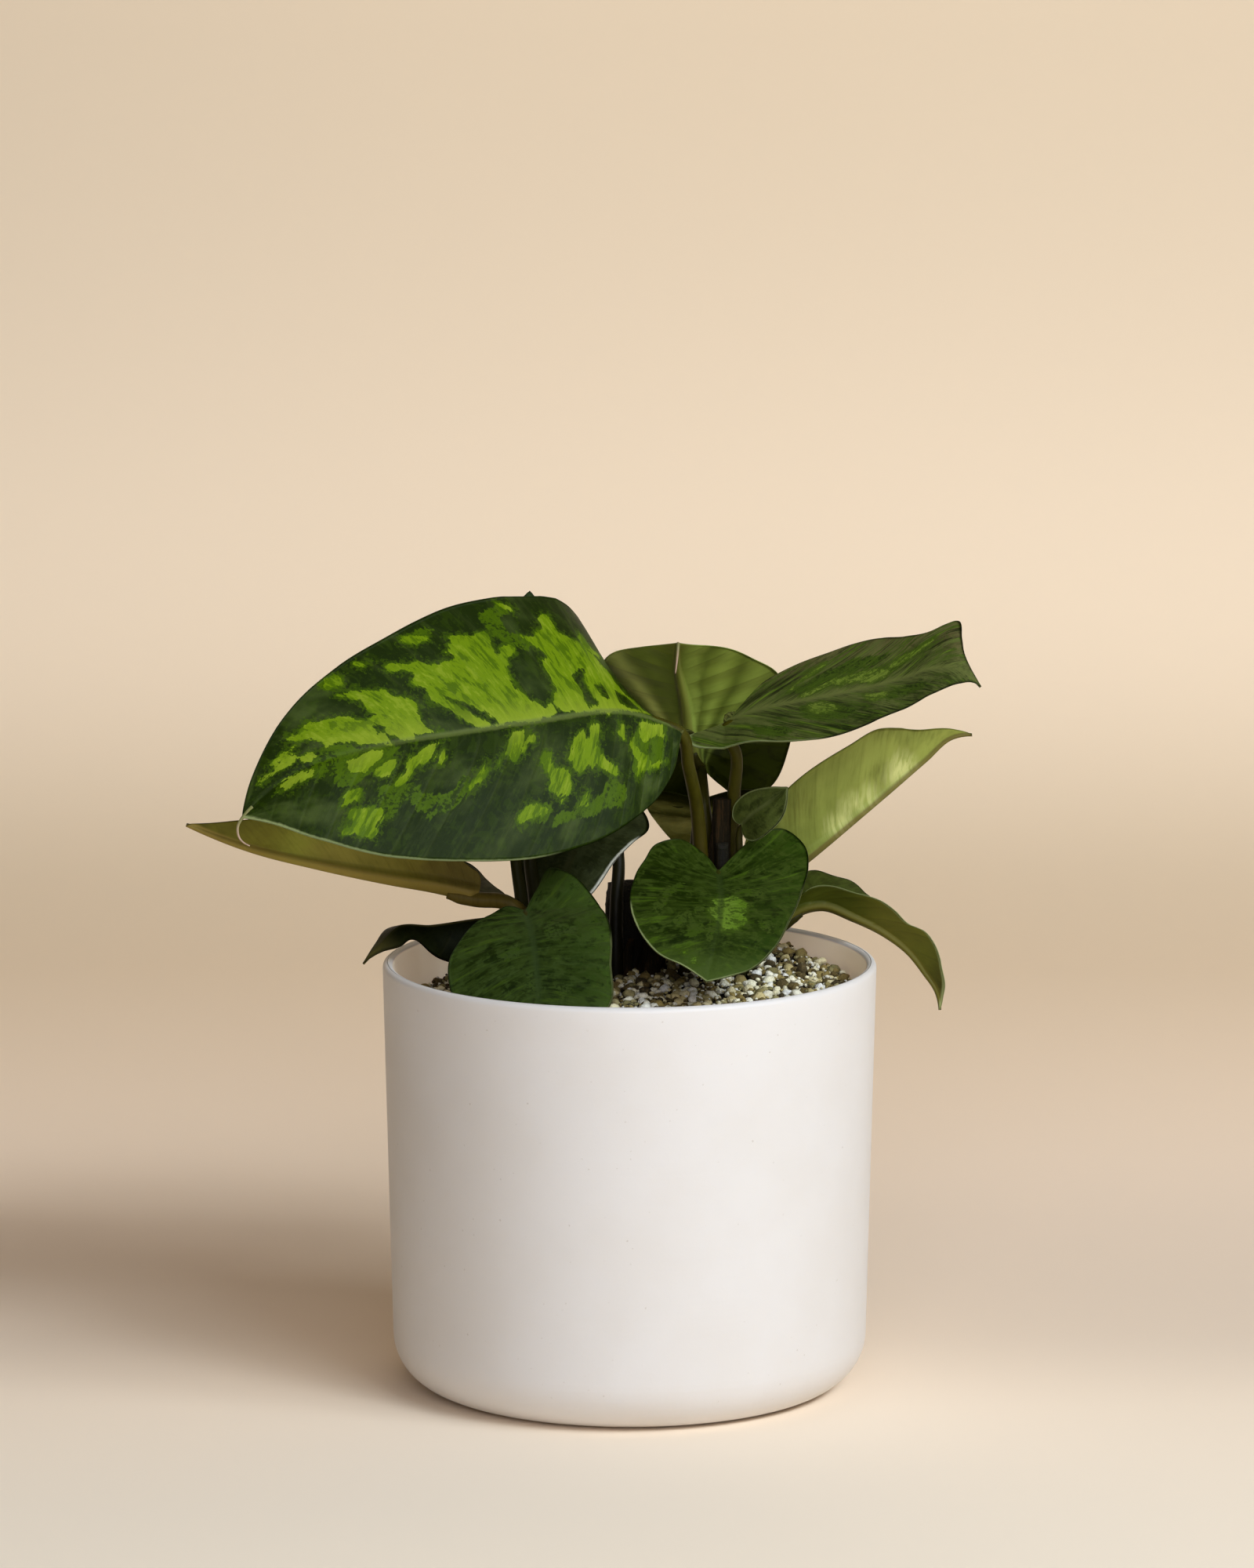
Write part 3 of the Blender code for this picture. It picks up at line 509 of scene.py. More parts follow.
def compostPaint():
    paint = Paint("darkCompost", Roughness=0.95)
    place = paint.place()
    crumbs = paint.noise(place, 520, 6, 0.7)
    fibre = paint.noise(paint.scaled(place, 1.0, 2.6, 1.0), 700, 3)
    tone = paint.ramp(crumbs, *soil["compost"])
    tone = paint.blend(fibre.step(0.62, 0.7) * 0.6, tone, soil["fibre"])
    paint.feed({"Base Color": tone, "Normal": paint.relief(crumbs, 0.9, 0.0012)})
    return paint.material


def gritPaint():
    paint = Paint("pumiceGrit", Roughness=0.85)
    place = paint.place()
    pores = paint.cells(place, 2600)
    mottle = paint.noise(place, 1500, 4, 0.65)
    patch = paint.noise(place, 75, 4, 0.6)
    tone = paint.over(paint.ramp(paint.value("tone"), *grit["shades"]),
                      (mottle.step(0.5, 0.72) * 0.45, grit["stain"]),
                      ((0.3 - pores).step(0.0, 0.2) * 0.55, grit["pore"]))
    tone = paint.blend(patch.step(0.5, 0.58) * 0.35, tone, grit["patch"], "MULTIPLY")
    # each grain darker towards its bottom, mottled
    dirt = paint.value("dirt") * (0.35 + mottle * 0.9)
    tone = paint.blend(dirt.least(1.0), tone, grit["dirt"])
    paint.feed({"Base Color": tone,
                "Normal": paint.relief(pores * 0.6 + mottle, 0.7, 0.0004)})
    return paint.material


def ballMesh(level):
    # icosphere points and triangles
    golden = (1 + 5**0.5) / 2
    points = [unit(np.array(p, float)) for p in (
        (-1, golden, 0), (1, golden, 0), (-1, -golden, 0), (1, -golden, 0), (0, -1, golden),
        (0, 1, golden), (0, -1, -golden), (0, 1, -golden), (golden, 0, -1), (golden, 0, 1),
        (-golden, 0, -1), (-golden, 0, 1))]
    faces = [(0, 11, 5), (0, 5, 1), (0, 1, 7), (0, 7, 10), (0, 10, 11), (1, 5, 9), (5, 11, 4),
             (11, 10, 2), (10, 7, 6), (7, 1, 8), (3, 9, 4), (3, 4, 2), (3, 2, 6), (3, 6, 8),
             (3, 8, 9), (4, 9, 5), (2, 4, 11), (6, 2, 10), (8, 6, 7), (9, 8, 1)]
    for _ in range(level - 1):
        middle, split = {}, []

        def half(a, b):
            key = (min(a, b), max(a, b))
            if key not in middle:
                middle[key] = len(points)
                points.append(unit(points[a] + points[b]))
            return middle[key]

        for a, b, c in faces:
            ab, bc, ca = half(a, b), half(b, c), half(c, a)
            split += [(a, ab, ca), (b, bc, ab), (c, ca, bc), (ab, bc, ca)]
        faces = split
    return np.array(points), np.array(faces)


def feetOfPlant():
    feet = [(x, y, radius) for x, y, radius, _, _ in crowns.values()]
    return feet + [(*leaf["stalk"][0][:2], leaf["stalkRadius"][0]) for leaf in leaves]


def addSoil():
    edge, rings = soilEdge(), soil["rings"]
    points, faces = [(0, 0, soilLevel(0, 0) - soil["middle"])], []

    def start(k):
        return 1 + 3 * k * (k - 1)

    for k in range(1, rings + 1):
        r = edge * k / rings
        for n in range(6 * k):
            a = fullTurn * n / (6 * k)
            x, y = r * math.cos(a), r * math.sin(a)
            lumps = noise.fractal(Vector((x, y, 3)) * 0.35, 0.6, 2.1, 4)
            points.append((x, y, soilLevel(x, y) - soil["under"] + soil["lumps"] * lumps))
        outer, inner, innerCount = start(k), start(k - 1) if k > 1 else 0, 6 * (k - 1)
        for sector in range(6):
            for n in range(k):
                a = outer + sector * k + n
                b = outer + (sector * k + n + 1) % (6 * k)
                c = inner + (sector * (k - 1) + n) % innerCount if k > 1 else 0
                faces.append((a, b, c))
                if n < k - 1:
                    faces.append((b, inner + (sector * (k - 1) + n + 1) % innerCount, c))
    count = 6 * rings
    upper = start(rings)
    centre, corner = innerCorner()
    for r, z in arcPoints(centre, corner - soil["clearance"], 0, -90, 6):
        lower = len(points)
        points += circle(r, z, count)
        for n in range(count):
            m = (n + 1) % count
            faces.append((upper + n, lower + n, lower + m, upper + m))
        upper = lower
    points.append((0, 0, pot["floor"] + soil["clearance"]))
    faces += [(upper + n, len(points) - 1, upper + (n + 1) % count) for n in range(count)]
    piece = addPiece("compost", points, faces, [compostPaint()])
    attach(piece, "root")
    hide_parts("soil")


class Heap:
    # grains of one size that become one mesh
    def __init__(self, name, level, rng):
        self.name, self.rng = name, rng
        self.ball, self.faces = ballMesh(level)
        self.points, self.triangles, self.tones, self.darkBelowLists = [], [], [], []

    def add(self, x, y, z, size):
        rng = self.rng
        tilt = Vector((rng.uniform(-0.6, 0.6), rng.uniform(-0.6, 0.6), 1)).normalized()
        spin = rng.uniform(0, fullTurn)
        turn = np.array(Vector((0, 0, 1)).rotation_difference(tilt).to_matrix())
        c, s = math.cos(spin), math.sin(spin)
        swing = np.array([(c, -s, 0), (s, c, 0), (0, 0, 1)])
        shape = np.array((size, size * rng.uniform(0.72, 0.95), size * rng.uniform(0.55, 0.8)))
        seed = rng.uniform(0, 100)
        rough = np.array([noise.noise(Vector(p * 1.2) + Vector((seed, 0, 0))) for p in self.ball])
        lumps = (self.ball * (1 + 0.38 * rough[:, None]) * shape) @ swing.T @ turn.T
        self.triangles.append(self.faces + len(self.points) * len(self.ball))
        self.points.append(lumps + (x, y, z))
        self.tones.append(np.full(len(self.ball), rng.random()))
        # a share that grows towards the grain's bottom, where the grit paint darkens it
        self.darkBelowLists.append(np.clip(rng.uniform(-0.15, 0.35) - lumps[:, 2] / size * 0.55, 0, 1))

    def finish(self, material):
        piece = addPiece(self.name, np.vstack(self.points), np.vstack(self.triangles).tolist(),
                         [material], values=dict(tone=np.concatenate(self.tones),
                                                 dirt=np.concatenate(self.darkBelowLists)))
        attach(piece, "root")
        return len(self.points)


def addGrit():
    rng = random.Random(grit["seed"])
    material = gritPaint()
    feet = feetOfPlant()

    def free(x, y, size):
        return all(math.hypot(x - u, y - v) > foot + grit["clear"] + 0.8 * size
                   for u, v, foot in feet)

    coarse = Heap("grit_coarse", 2, rng)
    for x, y, top in pebblePlaces():
        size = rng.uniform(*pebbles["size"])
        if free(x, y, size) and math.hypot(x, y) < grit["edge"] - size:
            coarse.add(x, y, top - pebbles["sink"] * size, size)
    medium = Heap("grit_medium", 2, rng)
    fine = Heap("grit_fine", 1, rng)
    for heap, kind in ((medium, grit["medium"]), (fine, grit["fine"])):
        tries = 0
        while len(heap.points) < kind["count"] and tries < kind["count"] * 12:
            tries += 1
            r, a = grit["spread"] * math.sqrt(rng.random()), rng.uniform(0, fullTurn)
            x, y, size = r * math.cos(a), r * math.sin(a), rng.uniform(*kind["size"])
            if r < grit["edge"] - size and free(x, y, size):
                z = soilLevel(x, y) + rng.uniform(*grit["rise"]) - grit["sink"]
                heap.add(x, y, z, size)
    print("grit:", [heap.finish(material) for heap in (coarse, medium, fine)], "grains")


# plain half outline: (fraction of the rib, fraction of the half width)
ovate = [(-0.05, 0.22), (-0.05, 0.54), (0.06, 0.86), (0.26, 1), (0.48, 0.95), (0.68, 0.74),
         (0.84, 0.42), (0.94, 0.15)]


def scaled(outline, halfWidth):
    return [(s, w * halfWidth) for s, w in outline]


# rib runs from the stalk to the tip, facing is where the upper face looks; left and right are
# as seen on the upper face; fold is how far a half turns up from flat, curl what it gains 40 mm
# out; edge is (fraction of the rib, mm across); wave is the margin's rise, waves and phase; fine
# is the mesh's rows and columns; quilt is how far the blade swells between its side veins
plainLeaf = dict(stiff=0.5, wave=(0.4, 2, 0.5), stalkRadius=(2.1, 1.4))
plainHalf = dict(fold=[(0, 0)], curl=0)
leaves = [
    dict(name="leaf_large_front", look="large", fine=(176, 46), veins=17, quilt=0.1,
         stalkRadius=(2.3, 1.6), stiff=0.7, wave=(0.5, 2, 0.1),
         rib=[(13.2, 10.4, 166.4), (-1.2, 4.6, 171.9), (-20.4, -5.4, 171.5), (-41.8, -14.5, 169.7),
             (-64.6, -22.6, 167), (-82.3, -28.8, 162), (-95.9, -34.2, 151.5)],
         facing=[(0, (-0.1, -0.83, 0.55))],
         left=dict(fold=[(0, -5), (0.3, 0)], curl=-10, edge=[(0.016, 6), (0.033, 11.5),
             (0.065, 17.7), (0.11, 23.8), (0.22, 31), (0.33, 34.5), (0.42, 35.6), (0.55, 34.1),
             (0.71, 29.5), (0.88, 17), (0.953, 6.8)]),
         right=dict(fold=[(-0.05, -65), (0.03, -58), (0.08, -36), (0.13, -12), (0.18, 0), (0.3, 5)],
             curl=-6, edge=[(-0.05, 8), (-0.08, 18), (-0.02, 29), (0.11, 35.6), (0.23, 37),
             (0.335, 37.2), (0.43, 36), (0.515, 32.9), (0.6, 28.8), (0.69, 24.5), (0.776, 19.5),
             (0.85, 13.8), (0.914, 8.4), (0.964, 4)]),
         drip=[(-97, -34.6, 149.2), (-96.7, -35, 146.8), (-94, -35.4, 144.6)],
         stalk=[(15, 24.3, 104), (18.6, 24.1, 119.9), (18.2, 25.1, 132.4), (17.2, 22.5, 144.5),
             (15, 16, 156.1)]),
    dict(name="leaf_back_upright", look="olive", fine=(120, 30), veins=11, quilt=0.3,
         stalkRadius=(2.3, 1.6), wave=(0.5, 2, 0.3),
         rib=[(18.2, 47.8, 151.4), (15.5, 44.2, 160.2), (14, 36.6, 170), (12.2, 26, 180.3),
             (12.3, 15.3, 187.9)],
         facing=[(0, (0, 0.63, 0.78))],
         left=dict(fold=[(0, 12)], curl=10, edge=[(-0.16, 3.5), (-0.3, 9), (-0.27, 16), (-0.09, 23),
             (0.15, 27), (0.4, 25.5), (0.6, 20), (0.76, 14.5), (0.87, 8.5), (0.95, 3)]),
         right=dict(fold=[(0, 12)], curl=10, edge=[(-0.16, 3.5), (-0.3, 9), (-0.25, 15),
             (-0.06, 20), (0.2, 21.5), (0.45, 21.5), (0.62, 21), (0.76, 17), (0.87, 9.5),
             (0.95, 3.5)]),
         drip=[(12.3, 13.2, 187.4), (12, 12.4, 184), (11.6, 12.6, 180.5)],
         stalk=[(20.2, 35.2, 106), (21.1, 33, 118.6), (20.4, 31.4, 132.6), (19.1, 32, 143.5),
             (18.5, 38.7, 149.4)]),
    dict(name="leaf_right_upper", look="upper", fine=(150, 28), veins=15, quilt=0.1, lean=1.8,
         stalkRadius=(2.2, 1.5), stiff=0.85,
         rib=[(24.3, 21.4, 166.5), (32.2, 19.1, 170.1), (42.5, 16.5, 172.7), (58, 13.6, 176.2),
             (68.8, 12, 179.2), (76.7, 10.5, 182), (82.6, 9, 182.3), (86.1, 8, 180.6),
             (88.8, 6.9, 178)],
         facing=[(0, (-0.1, -0.16, 0.98)), (0.6, (-0.1, -0.16, 0.98)), (1, (0.15, -0.5, 0.84))],
         left=dict(fold=[(0, 30), (0.7, 30), (1, 20)], curl=10, edge=[(0.04, 1.5), (0.087, 3.2),
             (0.144, 8), (0.204, 10.1), (0.263, 11.7), (0.388, 14), (0.498, 15.4), (0.585, 15.1),
             (0.694, 12.5), (0.781, 11.3), (0.847, 13), (0.887, 14.2), (0.9, 9.4), (0.915, 4.9),
             (0.945, 2)]),
         right=dict(fold=[(0, -28), (0.7, -20), (1, 0)], curl=-10, edge=[(-0.06, 1.4),
             (-0.154, 2.9), (-0.12, 6), (-0.03, 8.4), (0.094, 10), (0.26, 13.5), (0.417, 15.2),
             (0.555, 13.6), (0.647, 11.6), (0.768, 10.1), (0.857, 7.7), (0.91, 4.8), (0.953, 1.9)]),
         stalk=[(26.5, 34, 106), (25.8, 32.5, 118.4), (26.2, 30.5, 132.5), (26.8, 28, 147.3),
             (27.2, 24.5, 158)]),
    dict(name="leaf_left_low", look="brown", fine=(120, 26), veins=12, quilt=0.1,
         stalkRadius=(2.3, 2.0), stiff=0.3, wave=(0.3, 2, 0.5),
         rib=[(-38.4, 2.8, 125.8), (-48.2, 1.9, 128.2), (-60, -0.1, 130.4), (-78.9, -2.9, 134.5),
             (-95.8, -5.7, 139), (-111.3, -8.5, 145.5)],
         facing=[(0, (0, 0.34, 0.94))],
         left=dict(fold=[(0, 60), (1, 50)], edge=[(0, 2.8), (0.016, 5.2), (0.048, 6.3), (0.08, 7.6),
             (0.13, 10.5), (0.22, 13.8), (0.34, 15), (0.5, 14.2), (0.68, 11.1), (0.84, 6.3),
             (0.94, 2.3)]),
         right=dict(fold=[(0, 35)], edge=[(-0.1, 1.2), (-0.09, 3.5), (-0.055, 6.5), (-0.025, 10),
             (0, 14), (0.03, 17), (0.08, 18.2), (0.3, 18), (0.5, 16), (0.7, 12.5), (0.83, 7.5),
             (0.93, 2.8)]),
         stalk=[(-21.5, 6.5, 101), (-24.1, 5.2, 112.5), (-26.9, 4, 119.8), (-31.4, 3.6, 123.2)]),
    dict(name="leaf_front_left", look="front", fine=(120, 32), veins=11, quilt=0.12, stiff=0.75,
         rib=[(-26.3, -7.4, 122.8), (-24.2, -18.6, 117.6), (-22.9, -28.9, 109.6),
             (-22, -37.3, 101.3), (-21.6, -41.5, 96.2), (-21.2, -40.6, 93)],
         facing=[(0, (0, -0.72, 0.68))],
         left=dict(curl=-10, edge=[(-0.16, 4), (-0.3, 8.5), (-0.25, 13), (-0.1, 17.4), (0.02, 19.4),
             (0.2, 20), (0.44, 18.8), (0.73, 17.3), (0.88, 10)]),
         right=dict(fold=[(0, 5), (1, 0)], curl=-10, edge=[(-0.05, 4), (-0.01, 8), (0.06, 13),
             (0.2, 18), (0.34, 21.4), (0.5, 22), (0.7, 19), (0.88, 10)]),
         stalk=[(-16.7, 2.5, 100), (-20.5, 0.3, 113.9), (-23.6, -3.4, 120.7)]),
    dict(name="leaf_front_right", look="heart", fine=(130, 34), veins=11, quilt=0.12,
         stalkRadius=(2.2, 1.5), stiff=0.8, wave=(0.5, 2, 0.2),
         rib=[(22.5, 12.9, 129.4), (23.1, -1.3, 124.3), (21.8, -13.6, 116.6), (19.2, -22, 107.8)],
         facing=[(0, (0.05, -0.67, 0.73))],
         left=dict(curl=-5, edge=[(-0.2, 4.5), (-0.37, 8.8), (-0.48, 16), (-0.38, 21.3),
             (-0.13, 23), (0.15, 20.8), (0.45, 17.8), (0.7, 14.6), (0.88, 10), (0.95, 5)]),
         right=dict(curl=-5, edge=[(-0.2, 5), (-0.3, 10.5), (-0.25, 16), (-0.08, 18.8),
             (0.12, 21.5), (0.36, 23), (0.57, 21.7), (0.73, 18), (0.85, 13), (0.91, 7)]),
         stalk=[(22.5, 18.5, 104), (21.8, 18.2, 110.5), (22, 17.6, 120.8)]),
    dict(name="leaf_right_back", look="pale", fine=(120, 28), veins=12, quilt=0.22,
         stalkRadius=(2.2, 1.5), wave=(0.3, 2, 0.5),
         rib=[(32.6, 36.2, 119.6), (45.8, 37.6, 129.2), (57.2, 38.7, 138.3), (66.8, 39.8, 146.1),
             (76.1, 41, 153.8), (83.3, 42.1, 159.5), (88.4, 43, 160.1)],
         facing=[(0, (-0.45, 0.33, 0.84))],
         left=dict(fold=[(0, 40), (1, 30)], edge=[(0, 4), (0.04, 9), (0.12, 14), (0.28, 16),
             (0.48, 15.2), (0.68, 11.8), (0.84, 6.7), (0.94, 2.4)]),
         right=dict(fold=[(0, 55), (1, 45)], edge=[(0, 4), (0.03, 9.5), (0.12, 16), (0.3, 18.5),
             (0.45, 19), (0.6, 18), (0.72, 16.3), (0.79, 12), (0.87, 6), (0.95, 1.7)]),
         stalk=[(31, 31.5, 106), (31, 33, 110.5), (31.3, 35, 115.6)]),
    dict(name="leaf_young", look="young", fine=(60, 16), veins=6, quilt=0.05,
         stalkRadius=(1.2, 0.9), wave=(0, 1, 0),
         rib=[(28.7, 23.3, 139.8), (31.9, 21.5, 143.3), (36.2, 20.6, 146.4), (40.4, 20.8, 150)],
         facing=[(0, (0, -0.78, 0.63))],
         left=dict(fold=[(0, 10), (1, 0)], edge=scaled(ovate, 5.5)),
         right=dict(fold=[(0, 10), (1, 0)], edge=scaled(ovate, 7.5)),
         stalk=[(28.6, 18.9, 105), (28.8, 21.8, 118.3), (28.2, 24.4, 131)]),
    dict(name="leaf_back_low", look="backLow", fine=(90, 22), veins=10, quilt=0.15,
         stalkRadius=(2.1, 1.5), wave=(0.5, 2, 0.5),
         rib=[(18.1, 39.5, 143.1), (18.4, 55.3, 138.8), (18.7, 71.1, 131.5), (19.9, 82.7, 121.1),
             (20.5, 86.5, 117.1)],
         facing=[(0, (0, 0.24, 0.94))],
         left=dict(fold=[(0, 15), (1, 0)], edge=scaled(ovate, 14.5)),
         right=dict(fold=[(0, 15), (1, 0)], edge=scaled(ovate, 15.5)),
         stalk=[(15.5, 31.2, 105), (16.5, 33.5, 118), (17.1, 35.1, 132)]),
    dict(name="leaf_right_low", look="rightLow", fine=(120, 24), veins=10, quilt=0.1,
         stalkRadius=(1.9, 1.3), stiff=0.2, wave=(0.3, 2, 0.5),
         rib=[(39.5, 22.3, 114.9), (44.4, 22.5, 118.3), (49.3, 22.5, 119.1), (57.3, 21.4, 116.3),
             (65.8, 20.2, 112), (71.4, 19.1, 107.7), (75.8, 17.8, 102.1), (78.6, 16.7, 97.8),
             (79.6, 16.5, 92.9)],
         facing=[(0, (0, 0.24, 0.94)), (1, (0.6, 0.23, 0.74))],
         left=dict(fold=[(0, 50), (1, 30)], edge=[(0.02, 5), (0.08, 11), (0.17, 13.2),
             (0.226, 11.7), (0.275, 12.3), (0.37, 11), (0.5, 9.5), (0.7, 7), (0.85, 4)]),
         right=dict(fold=[(0, 50), (1, 45)], edge=[(0.05, 2), (0.114, 4), (0.16, 5.8), (0.225, 6.4),
             (0.302, 6.8), (0.389, 7.8), (0.45, 8.2), (0.512, 7.8), (0.6, 6.7), (0.679, 8.3),
             (0.72, 8), (0.807, 6.3), (0.885, 3.8), (0.945, 1.2)]),
         stalk=[(30.6, 23.8, 105), (34, 23, 107), (36.5, 22.2, 111.6)]),
    dict(name="leaf_over_rim", look="overRim", fine=(90, 20), veins=9, quilt=0.1,
         stalkRadius=(1.6, 1.1), stiff=0.6,
         rib=[(-29.6, 14.5, 118.1), (-40.6, 9.5, 117.7), (-50.3, 3.4, 117.4), (-58.5, -2.5, 118.1),
             (-62.7, -6.7, 114.5), (-67.2, -8.9, 109.8)],
         facing=[(0, (0, -0.16, 0.96))],
         left=dict(fold=[(0, -60), (0.5, -55), (1, -20)], edge=[(0.01, 5), (0.1, 9), (0.3, 10.5),
             (0.46, 10), (0.56, 7.5), (0.62, 5), (0.78, 4.4), (0.88, 1.8)]),
         right=dict(fold=[(0, -30), (0.6, -30), (1, 0)], edge=[(0.02, 5), (0.2, 9), (0.45, 8),
             (0.7, 5), (0.85, 2.5)]),
         stalk=[(-27.5, 18.5, 101), (-27.9, 17.7, 110.6), (-28.3, 15.9, 116.2)]),
    dict(name="leaf_shaded", look="shade", fine=(100, 22), veins=10, quilt=0.12,
         rib=[(-7.7, 27.5, 143.9), (-11.7, 26.6, 137.6), (-16.3, 25, 127.6), (-20.5, 25, 117.5),
             (-22.5, 25.5, 111.3)],
         facing=[(0, (0, -0.83, 0.53))],
         left=dict(curl=-10, edge=[(-0.12, 5), (-0.13, 10), (-0.05, 13.7), (0.11, 12.5),
             (0.3, 10.7), (0.6, 8.4), (0.8, 5), (0.93, 2)]),
         right=dict(curl=-10, edge=[(-0.05, 4), (-0.04, 9), (0.08, 13), (0.28, 15.5), (0.45, 15),
             (0.616, 13.3), (0.742, 11.2), (0.838, 9.1), (0.93, 4.5)]),
         stalk=[(-3.5, 19.5, 103), (-3.3, 23.1, 119.8), (-2.9, 27, 131.3), (-4.7, 29.4, 140.1)]),
    dict(name="leaf_rear_upright", look="rear", fine=(80, 20), veins=10, quilt=0.15,
         rib=[(-27, 25, 159), (-27.2, 31, 169), (-26.7, 37.5, 180.5), (-25.7, 44.6, 197.2)],
         facing=[(0, (0, -0.83, 0.53))],
         left=dict(curl=-20, edge=scaled(ovate, 15)),
         right=dict(curl=-20, edge=scaled(ovate, 15)),
         stalk=[(-15.5, 18, 103), (-21.3, 19, 111.5), (-24.7, 19.5, 125.5), (-26, 21, 141),
             (-26.8, 23.3, 152)]),
    dict(name="leaf_rear_left", look="rear", fine=(100, 22), veins=12, quilt=0.15,
         wave=(0.5, 2, 0.5),
         rib=[(-31, 16.5, 144.4), (-37.9, 31.8, 151), (-46.3, 49.9, 154.1), (-56, 67.9, 153.3),
             (-63.7, 81.6, 145.9)],
         facing=[(0, (0, -0.06, 0.97))],
         left=dict(fold=[(0, 8)], curl=-10, edge=scaled(ovate, 17)),
         right=dict(fold=[(0, 8)], curl=-10, edge=[(0.03, 1.5), (0.1, 3.5), (0.2, 6.5),
             (0.32, 10.5), (0.46, 13), (0.62, 12.5), (0.8, 8), (0.93, 3)]),
         stalk=[(-21.5, 16, 102), (-25.9, 12.3, 113.7), (-28, 11.8, 126), (-29.6, 13.2, 136.9)]),
]

def filledIn(leaf):
    # adds what the leaf's own entry leaves out, and the two ends of each edge
    leaf = {**plainLeaf, **leaf}
    for side in ("left", "right"):
        half = {**plainHalf, **leaf[side]}
        leaf[side] = {**half, "edge": [(0, 0), *half["edge"], (1, 0)]}
    return leaf


leaves = [filledIn(leaf) for leaf in leaves]
